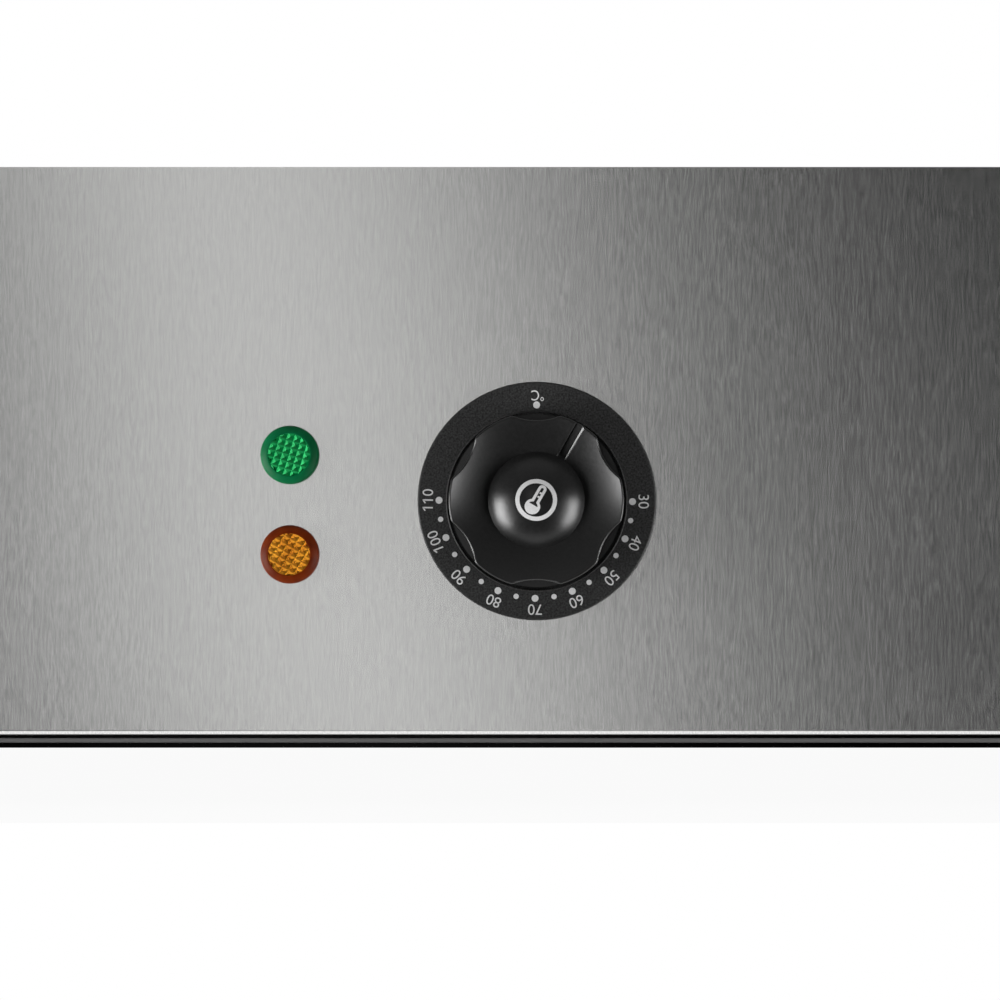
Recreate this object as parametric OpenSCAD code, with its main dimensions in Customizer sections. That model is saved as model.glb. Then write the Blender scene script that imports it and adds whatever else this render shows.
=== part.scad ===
/* [Pans] */
// Width of one food pan over its flange
pan_w = 265; // [240:1:300]
// Length of one food pan over its flange, front to back
pan_l = 325; // [300:1:360]
// Height of a food pan, underside to flange
pan_h = 100; // [90:1:120]
// Width of the flat flange round a pan
pan_flange = 12.5; // [12:0.5:15]
// Height of the flange's turned-down edge
pan_lip = 2; // [1.5:0.1:3]
// Sheet thickness of a pan
pan_sheet = 0.8; // [0.6:0.1:1]
// Corner radius of a pan's flange
pan_corner = 50; // [46:1:58]
// How far a pan's walls lean in from mouth to floor
pan_lean = 7.5; // [4:0.5:10]
// Radius between a pan's walls and its floor
pan_floor_r = 15; // [10:1:18]
// Gap between the flanges of the two pans
pan_gap = 0.5; // [0.3:0.1:2]

/* [Casing] */
// Thickness of the casing, deck and tank sheet
sheet = 1; // [0.8:0.1:1.2]
// Radius of the casing's upright corners
casing_corner = 6; // [6:0.5:10]
// Radius of the bend along the casing's lower edge
casing_bend = 1.5; // [1.3:0.1:2]
// Width of the flange turned in under the casing
casing_flange = 14; // [10:1:20]
// How far the front panel reaches round the corners
panel_wrap = 20; // [16:1:40]
// Width of the raised rim round the deck
rim_w = 14; // [10:1:18]
// Drop from the rim to the deck
rim_step = 9; // [7:0.5:11]
// Width of the deck in front of the pans
front_shelf = 33.5; // [30:0.5:60]
// Width of the deck beside the pans
side_shelf = 20.75; // [16:0.25:40]
// Width of the deck behind the pans
rear_shelf = 33.5; // [33:0.5:60]
// How far a pan's flange rests on the deck
flange_rest = 9.75; // [8:0.25:10.5]

/* [Tank and base] */
// Water depth below the pans
water_gap = 22; // [21:0.5:30]
// Inner corner radius of the tank
tank_corner = 20; // [15:1:30]
// Radius of the tank's folded floor edge
tank_bend = 3; // [2:0.5:4]
// Width of the tank's flange under the deck
tank_flange = 8; // [6:0.5:10]
// Free height under the tank
under_tank = 13.95; // [12:0.05:40]
// Height of the black base moulding seen under the casing
base_h = 3; // [2.6:0.1:4]
// Thickness of the base moulding's floor
base_floor = 1.3; // [1:0.1:1.6]
// Height of the feet
foot_h = 14; // [10:1:40]
// Diameter of a foot at the table
foot_d = 26; // [20:1:34]
// Distance of the feet from the casing's sides
foot_inset = 46; // [38:1:80]

/* [Lids and hinges] */
// Sheet thickness of a lid
lid_sheet = 0.8; // [0.6:0.1:1]
// How far a lid's edge stays inside the pan's flange
lid_inset = 1; // [0.8:0.1:3]
// Height of a lid's border above its lower edge
lid_skirt = 5.5; // [5:0.1:7]
// Clear height between a lid's edge and the pan's flange
lid_gap = 0.6; // [0.5:0.05:1]
// Radius of a lid's rounded border
lid_edge_r = 3; // [2:0.25:4]
// Height of a lid's raised field above its border
field_h = 3.6; // [2:0.1:5]
// Width of a lid's flat border
field_inset = 26; // [22:1:36]
// Length of the finger cup in a lid
cup_l = 130; // [110:1:150]
// Width of the finger cup, front to back
cup_w = 60; // [52:1:72]
// Depth of the finger cup
cup_d = 26; // [22:0.5:32]
// Corner radius of the finger cup
cup_r = 14; // [10:1:20]
// Distance of the finger cup from the lid's front edge
cup_front = 32; // [30:1:60]
// Diameter of the handle bar in the finger cup
bar_d = 10; // [8:0.5:12]
// Distance of a hinge from its lid's centre line
hinge_x = 85; // [60:1:95]
// Diameter of a hinge knuckle
knuckle_d = 11; // [10:0.5:12]
// Length of a hinge knuckle
knuckle_l = 24; // [18:1:30]
// Thickness of a hinge leaf
leaf_t = 2; // [1.5:0.1:2.5]
// Diameter of a hinge pin
pin_d = 6; // [5:0.5:6.5]
// Thickness of a hinge bracket's ears
ear_t = 3; // [2.5:0.1:4]
// Height of the lid stop above the hinge axis
stop_h = 23; // [20:1:30]

/* [Thermostat and knob] */
// Position of the knob right of the casing's middle
knob_x = 9.2; // [-60:0.1:60]
// Height of the knob above the panel's lower edge
knob_up = 58.7; // [48:0.1:80]
// Diameter of the printed dial ring
dial_d = 59.5; // [56:0.5:66]
// Height of the dial ring
dial_t = 2.6; // [2.2:0.1:3.5]
// Diameter of the hollow in the dial ring round the knob
dial_hollow_d = 44.4; // [44.2:0.1:48]
// Diameter of the knob
knob_d = 42.8; // [40:0.1:43.2]
// Height of the knob above the panel
knob_h = 19.5; // [18:0.5:26]
// Diameter of the raised crown in the knob's middle
crown_d = 23.7; // [20:0.1:26]
// Number of finger scallops round the knob
scallops = 6; // [4:1:8]
// Depth of a finger scallop
scallop_deep = 1.9; // [1:0.1:2.5]
// Radius of a finger scallop
scallop_r = 16; // [12:0.5:20]
// Angle of the pointer clockwise from the top
pointer_turn = 30; // [0:1:240]
// Diameter of the thermostat spindle
spindle_d = 6; // [5:0.5:8]
// Width of the thermostat housing
stat_w = 38; // [34:1:44]
// Depth of the thermostat housing
stat_d = 26; // [22:1:28]

/* [Pilot lamps] */
// Position of the lamps left of the casing's middle
lamp_x = 52.5; // [48:0.5:110]
// Height of the green lamp above the panel's lower edge
green_up = 70.25; // [66:0.25:90]
// Height of the amber lamp above the panel's lower edge
amber_up = 45.4; // [30:0.1:50]
// Diameter of a lamp's lens
lens_d = 14.6; // [13:0.1:18]
// Height of a lens in front of the panel
lens_h = 3; // [2.4:0.1:4]
// Diameter of a lamp's barrel
barrel_d = 10; // [8:0.5:11]

/* [Drain tap] */
// Distance of the tap from the casing's right side
tap_inset = 85; // [80:1:110]
// Diameter of the drain pipe
pipe_d = 18; // [16:0.5:20]
// Wall of the drain pipe
pipe_wall = 2.5; // [2:0.1:3]
// Diameter of the valve chamber
valve_d = 32; // [30:0.5:36]
// Diameter of the valve ball
ball_d = 22; // [20:0.5:23]
// Length of the lever from its stem
lever_l = 72; // [60:1:78]
// Diameter of the spout
spout_d = 16; // [14:0.5:17]
// Radius of the spout's bend
spout_r = 16; // [14:0.5:22]

/* [Fits] */
// Radial play of parts that turn
run_fit = 0.05; // [0.03:0.01:0.08]
// Gap between sheets that lie against each other
sheet_fit = 0.1; // [0.05:0.01:0.2]
// Radial gap of parts that pass through a clearance hole
clear = 0.4; // [0.3:0.05:0.6]

/* [Hidden] */
$fn = 64;
ARC = 8;
lap = 3;
TUBE_FN = 10;
knee = 1.02;

// Overall sizes follow from the pans
pans_w = 2 * pan_w + pan_gap;
well_w = pans_w - 2 * flange_rest;
well_l = pan_l - 2 * flange_rest;
body_w = pans_w + 2 * (side_shelf + rim_w);
body_d = pan_l + front_shelf + rear_shelf + 2 * rim_w;
tank_depth = pan_h - pan_lip + water_gap;

// Heights above the table
base_z = foot_h;
panel_z = base_z + base_h;
floor_z = base_z + base_floor;
tank_z = floor_z + under_tank;
deck_z = tank_z + sheet + tank_depth;
rim_z = deck_z + rim_step;
flange_z = deck_z + pan_lip;
pan_floor_z = flange_z - pan_h;
lid_z = flange_z + lid_gap;
border_z = lid_z + lid_skirt;
field_z = border_z + field_h;

// Drain tap, measured forward from the panel
rose_t = 3;
valve_l = 40;
valve_start = rose_t + 0.2;
collar_l = 10;
ball_y = valve_start + valve_l / 2;
spout_start = valve_start + valve_l - collar_l + 2;
spout_straight = 14;
spout_drop = 10;
tap_z = tank_z + sheet + tank_bend + pipe_d / 2 + 0.5;
tap_x = body_w / 2 - tap_inset;
front_reach = spout_start + spout_straight + spout_r + spout_d / 2;

// Cord gland, measured back from the rear wall
gland_flange_t = 5;
gland_cap_l = 13;
gland_bore = 8;
gland_thread_d = 15.6;
gland_inset = 120;
gland_x = gland_inset - body_w / 2;
gland_z = panel_z + 38;
rear_reach = gland_flange_t + gland_cap_l;

// Screws of the base, their heads sunk in its rim
base_screw_d = 3.2;
base_head_d = 6;

// The origin is at the middle of the whole footprint
front_y = -body_d / 2 + (front_reach - rear_reach) / 2;
rear_y = front_y + body_d;
body_y = front_y + body_d / 2;
pan_y = front_y + rim_w + front_shelf + pan_l / 2;
pan_x = (pan_w + pan_gap) / 2;
tank_front_y = pan_y - well_l / 2;
block_x = gland_x + 40;
block_y = rear_y - casing_flange - 26;

// Lid and hinge places
lid_w = pan_w - 2 * lid_inset;
lid_l = pan_l - 2 * lid_inset;
lid_corner = pan_corner - lid_inset;
field_r = lid_corner - field_inset;
field_w = lid_w - 2 * field_inset;
field_l = lid_l - 2 * field_inset;
field_slope = 5;
axis_y = pan_y + pan_l / 2 + 15.5;
axis_z = border_z + leaf_t;
stop_y = knuckle_d / 2 + 0.8;
cup_y = pan_y - lid_l / 2 + cup_front + cup_w / 2;
bar_z = field_z - bar_d / 2 - 1;
leaf_lap = 20;
rivet_x = 7;
rivet_y = 30;
bracket_w = knuckle_l + 1.2 + 2 * ear_t;
bracket_foot = 52;
bracket_front = 9;
bracket_back = 14;
bracket_t = 2;

// Control places
knob_z = panel_z + knob_up;
green_z = panel_z + green_up;
amber_z = panel_z + amber_up;
spindle_hole = 10;
stat_plate_t = 1.2;
stat_h = 40;
stat_screw_x = 13;
dial_floor = 1.2;
skirt_z = dial_floor + 0.6;
scallop_z = 7;

// Element and thermostat bulb in the water
element_d = 8;
element_z = tank_z + sheet + 11.25;
element_pitch = 100;
element_back = well_l / 2 - 70;
saddle_y = 60;
saddle_l = 3 * element_pitch + 40;
saddle_t = 8;
tray_z = element_z + 5.75;
bulb_d = 6;
bulb_l = 90;
bulb_x = 100;
bulb_start = 11;
cutout_x = 95;
cutout_z = deck_z - 50;
cutout_t = 11;
stat_back = sheet + stat_plate_t + 2 * sheet_fit + stat_d;
lamp_back = 28.1;
tab_l = 8;
wire_d = 2;
wire_gap = 0.3;
tab_reach = sheet_fit + tab_l + wire_gap;

function arc(centre, r, from, to) =
    [for (i = [0:ARC]) centre + r * [cos(from + (to - from) * i / ARC), sin(from + (to - from) * i / ARC)]];

// A plate outline with round corners
module rounded_rect(w, l, r) {
    square([w - 2 * r, l], center = true);
    square([w, l - 2 * r], center = true);
    for (x = [-1, 1], y = [-1, 1])
        translate([x * (w / 2 - r), y * (l / 2 - r)])
            circle(r);
}

// A flat frame between two plate outlines
module frame_plate(w, l, r, inset, t) {
    linear_extrude(t)
        difference() {
            rounded_rect(w, l, r);
            rounded_rect(w - 2 * inset, l - 2 * inset, max(r - inset, 1));
        }
}

// A sheet profile carried round a rounded rectangle; x points outward from the path and y points up
module swept_round(w, l, r) {
    for (turn = [0, 180])
        rotate([0, 0, turn]) {
            translate([w / 2, l / 2 - r, 0])
                rotate([90, 0, 0])
                    linear_extrude(l - 2 * r)
                        children();
            rotate([0, 0, 90])
                translate([l / 2, w / 2 - r, 0])
                    rotate([90, 0, 0])
                        linear_extrude(w - 2 * r)
                            children();
            translate([w / 2 - r, l / 2 - r, 0])
                rotate_extrude(angle = 90)
                    translate([r, 0])
                        children();
            translate([-w / 2 + r, l / 2 - r, 0])
                rotate([0, 0, 90])
                    rotate_extrude(angle = 90)
                        translate([r, 0])
                            children();
        }
}

// A wall that comes down and bends inward into a floor; the wall's outer face is at x = 0
module wall_and_bend(top, bottom, r, t) {
    c = [-r, bottom + r];
    polygon(concat([[-t, top], [0, top]], arc(c, r, 0, -90), [[-r - lap, bottom], [-r - lap, bottom + t]],
        arc(c, r - t, -90, 0)));
}

// A cylinder along the front-to-back direction, starting at the origin and running back
module rod_y(d, l) {
    rotate([-90, 0, 0])
        cylinder(d = d, h = l);
}

// A cylinder along the left-to-right direction, centred
module rod_x(d, l) {
    rotate([0, 90, 0])
        cylinder(d = d, h = l, center = true);
}

// A hexagonal nut along the vertical, with its hole
module hex_nut(across, hole, t) {
    difference() {
        cylinder(d = across / cos(30), h = t, $fn = 6);
        translate([0, 0, -1])
            cylinder(d = hole, h = t + 2);
    }
}

// A pan-head screw with its head above the origin
module screw(d, head, l) {
    translate([0, 0, -l])
        cylinder(d = d, h = l);
    cylinder(d = head, h = d / 2);
}

// A round wire laid straight from point to point
module wire_run(points, d) {
    last = len(points) - 1;
    for (i = [0:last - 1]) {
        step = points[i + 1] - points[i];
        translate(points[i])
            rotate([0, acos(step[2] / norm(step)), atan2(step[1], step[0])])
                cylinder(d = d, h = norm(step));
    }
    for (i = [1:last - 1])
        translate(points[i])
            sphere(d = knee * d);
}

// A thin tube bent by hand through a list of points
module bent_tube(points, d) {
    for (i = [0:len(points) - 2])
        hull() {
            translate(points[i])
                sphere(d = d, $fn = TUBE_FN);
            translate(points[i + 1])
                sphere(d = d, $fn = TUBE_FN);
        }
}

// Places shared by several modules
module at_front(x, z) {
    translate([x, front_y, z])
        children();
}

module at_hinges(side) {
    for (s = [-1, 1])
        translate([side * pan_x + s * hinge_x, axis_y, axis_z])
            children();
}

module at_feet() {
    for (x = [-1, 1], y = [-1, 1])
        translate([x * (body_w / 2 - foot_inset), body_y + y * (body_d / 2 - foot_inset), 0])
            children();
}

module at_base_screws() {
    reach_x = body_w / 2 - casing_flange / 2 - sheet;
    reach_y = body_d / 2 - casing_flange / 2 - sheet;
    for (y = [-1, 1])
        for (x = [-1, 0, 1])
            translate([x * reach_x * 0.8, body_y + y * reach_y, base_z])
                children();
    for (x = [-1, 1])
        translate([x * reach_x, body_y, base_z])
            children();
}

module at_drain() {
    translate([tap_x, front_y, tap_z])
        children();
}

// Four walls with round corners, turned in below, before the front panel is parted from the rest
module casing_shell() {
    turn_in = casing_bend + lap / 2;
    difference() {
        union() {
            translate([0, body_y, 0])
                swept_round(body_w, body_d, casing_corner)
                    wall_and_bend(rim_z, panel_z, casing_bend, sheet);
            translate([0, body_y, panel_z])
                frame_plate(body_w - 2 * turn_in, body_d - 2 * turn_in, casing_corner - turn_in,
                    casing_flange - turn_in, sheet);
        }
        at_front(knob_x, knob_z) {
            translate([0, -1, 0])
                rod_y(spindle_hole, sheet + 2);
            for (s = [-1, 1])
                translate([s * stat_screw_x, -1, 0])
                    rod_y(4.4, sheet + 2);
        }
        for (z = [green_z, amber_z])
            at_front(-lamp_x, z)
                translate([0, -1, 0])
                    rod_y(barrel_d + 0.2, sheet + 2);
        at_drain()
            translate([0, -1, 0])
                rod_y(pipe_d + 4 * clear, sheet + 2);
        translate([gland_x, rear_y - sheet - 1, gland_z])
            rod_y(gland_thread_d + clear, sheet + 2);
        at_base_screws()
            cylinder(d = 3.4, h = base_h + sheet + 1);
    }
}

// What lies in front of the seam between the front panel and the casing
module panel_side(extra) {
    translate([-body_w, front_y - body_d, 0])
        cube([2 * body_w, body_d + panel_wrap + extra, 2 * rim_z]);
}

module front_panel() {
    color("silver")
        intersection() {
            casing_shell();
            panel_side(0);
        }
}

// Sides and back of the casing, one folded sheet
module outer_casing() {
    color("silver")
        difference() {
            casing_shell();
            panel_side(sheet_fit);
        }
}

// The deck has a raised rim, a step and the opening of the well
module top_deck() {
    out_w = body_w - 2 * (sheet + sheet_fit);
    out_d = body_d - 2 * (sheet + sheet_fit);
    out_r = casing_corner - sheet - sheet_fit;
    in_w = body_w - 2 * rim_w;
    in_d = body_d - 2 * rim_w;
    in_r = 8;
    r = 1.6;
    color("gainsboro")
        difference() {
            union() {
                translate([0, body_y, rim_z - 16])
                    frame_plate(out_w, out_d, out_r, sheet, 16);
                translate([0, body_y, rim_z - sheet])
                    linear_extrude(sheet)
                        difference() {
                            rounded_rect(out_w, out_d, out_r);
                            rounded_rect(in_w + 2 * r + lap, in_d + 2 * r + lap, in_r + r + lap / 2);
                        }
                translate([0, body_y, 0])
                    swept_round(in_w, in_d, in_r)
                        polygon(concat([[r + lap, rim_z]], arc([r, rim_z - r], r, 90, 180),
                            arc([-r, deck_z + r], r, 0, -90),
                            [[-r - lap, deck_z], [-r - lap, deck_z - sheet]],
                            arc([-r, deck_z + r], r + sheet, -90, 0),
                            arc([r, rim_z - r], r - sheet, 180, 90), [[r + lap, rim_z - sheet]]));
                translate([0, body_y, deck_z - sheet])
                    linear_extrude(sheet)
                        rounded_rect(in_w - 2 * r - lap, in_d - 2 * r - lap, in_r - r - lap / 2);
            }
            translate([0, pan_y, deck_z - sheet - 1])
                linear_extrude(sheet + 2)
                    rounded_rect(well_w, well_l, tank_corner);
            for (side = [-1, 1])
                at_hinges(side)
                    for (s = [-1, 1])
                        translate([s * 21, 3, deck_z - axis_z - sheet - 1])
                            cylinder(d = 3.4, h = sheet + 2);
        }
}

// The water tank hangs under the deck by its flange
module water_tank() {
    turn_in = tank_bend + lap / 2;
    color("lightgray")
        difference() {
            union() {
                translate([0, pan_y, 0])
                    swept_round(well_w + 2 * sheet, well_l + 2 * sheet, tank_corner + sheet)
                        wall_and_bend(deck_z - sheet, tank_z, tank_bend + sheet, sheet);
                translate([0, pan_y, tank_z])
                    linear_extrude(sheet)
                        rounded_rect(well_w - 2 * turn_in, well_l - 2 * turn_in, tank_corner - turn_in);
                translate([0, pan_y, deck_z - 2 * sheet])
                    frame_plate(well_w + 2 * tank_flange, well_l + 2 * tank_flange, tank_corner + tank_flange,
                        tank_flange, sheet);
            }
            at_drain()
                translate([0, tank_front_y - front_y - sheet - 1, 0])
                    rod_y(pipe_d + 2 * run_fit, sheet + 2);
            for (s = [-1, 1])
                translate([s * 1.5 * element_pitch, tank_front_y - sheet - 1, element_z])
                    rod_y(12 + 2 * run_fit, sheet + 2);
            translate([bulb_x, tank_front_y - sheet - 1, element_z])
                rod_y(8 + 2 * run_fit, sheet + 2);
        }
}

// The black base carries the feet and closes the casing from below
module base_moulding() {
    inset = 0.8;
    w = body_w - 2 * inset;
    d = body_d - 2 * inset;
    r = casing_corner - inset;
    bead = 0.5;
    color("black")
        difference() {
            union() {
                translate([0, body_y, base_z])
                    linear_extrude(base_floor)
                        rounded_rect(w, d, r);
                translate([0, body_y, base_z + base_floor])
                    frame_plate(w - 1, d - 1, r - 0.5, casing_flange, base_h - base_floor);
                translate([0, body_y, base_z + base_floor + bead])
                    swept_round(w - 1, d - 1, r - 0.5)
                        polygon(concat([[-1, -bead]], arc([0.3, 0], bead, -90, 90), [[-1, bead]]));
            }
            at_feet()
                translate([0, 0, base_z - 1])
                    cylinder(d = 4.4, h = base_floor + 2);
            at_base_screws() {
                translate([0, 0, -1])
                    cylinder(d = 3.4, h = base_h + 2);
                translate([0, 0, -1])
                    cylinder(d = base_head_d + 2 * clear, h = base_screw_d / 2 + sheet_fit + 1);
            }
            for (side = [-1, 1], row = [-2:2])
                translate([side * 150, body_y + row * 16, base_z - 1])
                    linear_extrude(base_floor + 2)
                        rounded_rect(80, 5, 2.4);
        }
}

module feet() {
    color("dimgray")
        at_feet()
            difference() {
                cylinder(d1 = foot_d, d2 = foot_d + 4, h = foot_h);
                translate([0, 0, -1])
                    cylinder(d = 12, h = foot_h - 4);
                cylinder(d = 4.4, h = foot_h + 1);
            }
}

// Pans
module food_pan() {
    mouth_w = pan_w - 2 * pan_flange;
    mouth_l = pan_l - 2 * pan_flange;
    mouth_r = pan_corner - pan_flange;
    drop = pan_h - pan_sheet / 2;
    a = atan(pan_lean / drop);
    r = pan_floor_r;
    run = (drop - r + r * sin(a)) / cos(a);
    inward = [-cos(a), sin(a)];
    foot = [-run * sin(a), drop - run * cos(a)];
    c = foot + r * inward;
    color("silver") {
        swept_round(mouth_w, mouth_l, mouth_r)
            polygon(concat([[0, drop]], arc(c, r, -a, -90), [[c[0] - lap, 0], [c[0] - lap, pan_sheet]],
                arc(c, r - pan_sheet, -90, -a), [[-pan_sheet / cos(a), drop]]));
        linear_extrude(pan_sheet)
            rounded_rect(mouth_w + 2 * c[0] - lap, mouth_l + 2 * c[0] - lap, mouth_r + c[0] - lap / 2);
        translate([0, 0, pan_h - pan_sheet])
            frame_plate(pan_w, pan_l, pan_corner, pan_flange + pan_sheet, pan_sheet);
        translate([0, 0, pan_h - pan_lip])
            frame_plate(pan_w, pan_l, pan_corner, pan_sheet, pan_lip);
    }
}

module at_pan(side) {
    translate([side * pan_x, pan_y, pan_floor_z])
        children();
}

module pan_left() at_pan(-1) food_pan();

module pan_right() at_pan(1) food_pan();

// The divider carries the two inner flanges and rests on the deck with its end tabs
module divider_bar() {
    half = 9;
    web = 14;
    tab = 15;
    joggle = 4;
    color("silver")
        translate([0, pan_y, deck_z]) {
            translate([-half, -well_l / 2 + 1, -sheet])
                cube([2 * half, well_l - 2, sheet]);
            for (s = [-1, 1])
                translate([s * (half - sheet / 2) - sheet / 2, -well_l / 2 + 4, -web])
                    cube([sheet, well_l - 8, web]);
            for (turn = [0, 180])
                rotate([0, 0, turn])
                    translate([-half + 1, well_l / 2 - joggle, 0]) {
                        cube([2 * half - 2, tab, sheet]);
                        translate([0, 0, -sheet])
                            cube([2 * half - 2, joggle - 1, 2 * sheet]);
                    }
        }
}

// Lids
module lid() {
    t = lid_sheet;
    e = lid_edge_r;
    k = t * tan(atan2(field_h, field_slope) / 2);
    cup_bend = 5;
    turn_in = cup_bend + lap / 2 - t;
    color("whitesmoke")
        difference() {
            union() {
                translate([0, pan_y, 0])
                    swept_round(lid_w, lid_l, lid_corner)
                        polygon(concat([[-t, lid_z], [0, lid_z]], arc([-e, border_z - e], e, 0, 90),
                            [[-e - lap, border_z], [-e - lap, border_z - t]],
                            arc([-e, border_z - e], e - t, 90, 0)));
                translate([0, pan_y, border_z - t])
                    frame_plate(lid_w - 2 * e - lap, lid_l - 2 * e - lap, lid_corner - e - lap / 2,
                        field_inset - e - lap / 2 - 1, t);
                translate([0, pan_y, 0])
                    swept_round(field_w, field_l, field_r)
                        polygon([[lap, border_z], [0, border_z], [-field_slope, field_z],
                            [-field_slope - lap, field_z], [-field_slope - lap, field_z - t],
                            [-field_slope - k, field_z - t],
                            [-k, border_z - t], [lap, border_z - t]]);
                difference() {
                    translate([0, pan_y, field_z - t])
                        linear_extrude(t)
                            rounded_rect(field_w - 2 * field_slope - lap, field_l - 2 * field_slope - lap,
                                field_r - field_slope - lap / 2);
                    translate([0, cup_y, field_z - t - 1])
                        linear_extrude(t + 2)
                            rounded_rect(cup_l + t, cup_w + t, cup_r + t / 2);
                }
                translate([0, cup_y, 0])
                    swept_round(cup_l + 2 * t, cup_w + 2 * t, cup_r + t)
                        wall_and_bend(field_z, field_z - cup_d - t, cup_bend, t);
                translate([0, cup_y, field_z - cup_d - t])
                    linear_extrude(t)
                        rounded_rect(cup_l - 2 * turn_in, cup_w - 2 * turn_in, cup_r - turn_in);
            }
            translate([0, cup_y, bar_z])
                rod_x(5 + 2 * run_fit, cup_l + 8);
            for (s = [-1, 1], h = [-1, 1])
                translate([s * hinge_x + h * rivet_x, axis_y - rivet_y, border_z - t - 1])
                    cylinder(d = 3.4, h = t + 2);
        }
}

module lid_left() translate([-pan_x, 0, 0]) lid();

module lid_right() translate([pan_x, 0, 0]) lid();

// The handle bar stands between the cup's end walls, with a collar and a spigot at either end
module handle_bar() {
    color("gainsboro")
        translate([0, cup_y, bar_z]) {
            rod_x(bar_d, cup_l - 2 * sheet_fit);
            rod_x(5, cup_l + 2 * lid_sheet + 1);
            for (s = [-1, 1])
                translate([s * (cup_l / 2 - sheet_fit - 1), 0, 0])
                    rod_x(bar_d + 4, 2);
        }
}

module handle_bar_left() translate([-pan_x, 0, 0]) handle_bar();

module handle_bar_right() translate([pan_x, 0, 0]) handle_bar();

// Soft buffers under a lid's edge
module lid_buffers(side) {
    foot_z = flange_z + 0.3;
    color("dimgray")
        for (x = [-1, 1], y = [-1, 1])
            translate([side * pan_x + x * 45 - 7, pan_y + y * (lid_l / 2 - lid_edge_r - 3.4) - 3.2, foot_z])
                cube([14, 6.4, border_z - lid_sheet - foot_z]);
}

module buffers_left() lid_buffers(-1);

module buffers_right() lid_buffers(1);

// Hinge leaf on the lid, with the turning knuckle
module hinge_leaf() {
    color("lightgray")
        difference() {
            union() {
                rod_x(knuckle_d, knuckle_l);
                translate([-knuckle_l / 2, -16.5 - leaf_lap, -leaf_t])
                    cube([knuckle_l, 16.5 + leaf_lap, leaf_t]);
            }
            rod_x(pin_d + 2 * run_fit, knuckle_l + 2);
            for (s = [-1, 1])
                translate([s * rivet_x, -rivet_y, -leaf_t - 1])
                    cylinder(d = 3.4, h = leaf_t + 2);
        }
}

module leaves_left() at_hinges(-1) hinge_leaf();

module leaves_right() at_hinges(1) hinge_leaf();

// Hinge bracket on the deck: foot, two ears and the upright that stops the open lid
module hinge_bracket() {
    seat = deck_z - axis_z;
    color("gray")
        difference() {
            union() {
                translate([-bracket_foot / 2, -bracket_front, seat])
                    cube([bracket_foot, bracket_front + bracket_back, bracket_t]);
                for (s = [-1, 1])
                    translate([s * (bracket_w - ear_t) / 2, 0, 0]) {
                        rod_x(knuckle_d + 1, ear_t);
                        translate([-ear_t / 2, -(knuckle_d + 1) / 2, seat])
                            cube([ear_t, stop_y + 2 + (knuckle_d + 1) / 2, -seat]);
                    }
                translate([-bracket_w / 2, stop_y, seat])
                    cube([bracket_w, 2.5, stop_h - seat]);
            }
            rod_x(pin_d + 0.04, bracket_w + 2);
            for (s = [-1, 1])
                translate([s * 21, 3, seat - 1])
                    cylinder(d = 3.4, h = bracket_t + 2);
        }
}

module brackets_left() at_hinges(-1) hinge_bracket();

module brackets_right() at_hinges(1) hinge_bracket();

module hinge_pin() {
    color("darkgray") {
        rod_x(pin_d, bracket_w + 1);
        translate([-(bracket_w + 1) / 2 - 1, 0, 0])
            rod_x(pin_d + 3, 2);
    }
}

module hinge_pins() {
    for (side = [-1, 1])
        at_hinges(side)
            hinge_pin();
}

module leaf_rivets(side) {
    color("gray")
        at_hinges(side)
            for (s = [-1, 1])
                translate([s * rivet_x, -rivet_y, 0])
                    screw(3, 5.4, leaf_t + lid_sheet + 1);
}

module rivets_left() leaf_rivets(-1);

module rivets_right() leaf_rivets(1);

// Dial ring fixed on the panel round the knob
module dial_ring() {
    rim = 0.3;
    color("black")
        at_front(knob_x, knob_z)
            difference() {
                rotate([90, 0, 0])
                    rotate_extrude()
                        polygon([[spindle_hole / 2, 0], [dial_d / 2, 0], [dial_d / 2, dial_t - 0.5],
                            [dial_d / 2 - 0.5, dial_t], [dial_hollow_d / 2 + rim + 0.1, dial_t],
                            [dial_hollow_d / 2 + rim, dial_t + rim], [dial_hollow_d / 2, dial_t + rim],
                            [dial_hollow_d / 2, dial_floor], [spindle_hole / 2, dial_floor]]);
                for (s = [-1, 1])
                    translate([s * stat_screw_x, -dial_floor - 1, 0])
                        rod_y(4.4, dial_floor + 2);
            }
}

// Knob profile: x outward, y away from the panel; side, rounded edge, dish and crown
function knob_outline(r, c, top, edge, dish, bow, crown) = concat(
    [[0, skirt_z], [r, skirt_z]],
    arc([r - edge, top - edge], edge, 0, 90),
    [for (i = [1:ARC]) [r - edge + (c - r + edge) * i / ARC, top - dish * (1 + bow - bow * i / ARC) * i / ARC]],
    let (h = dish + crown, cap_r = (c * c + h * h) / (2 * h), foot = asin(c / cap_r))
        [for (i = [1:ARC]) [cap_r * sin(foot * (1 - i / ARC)), top + crown - cap_r * (1 - cos(foot * (1 - i / ARC)))]]);

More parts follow.
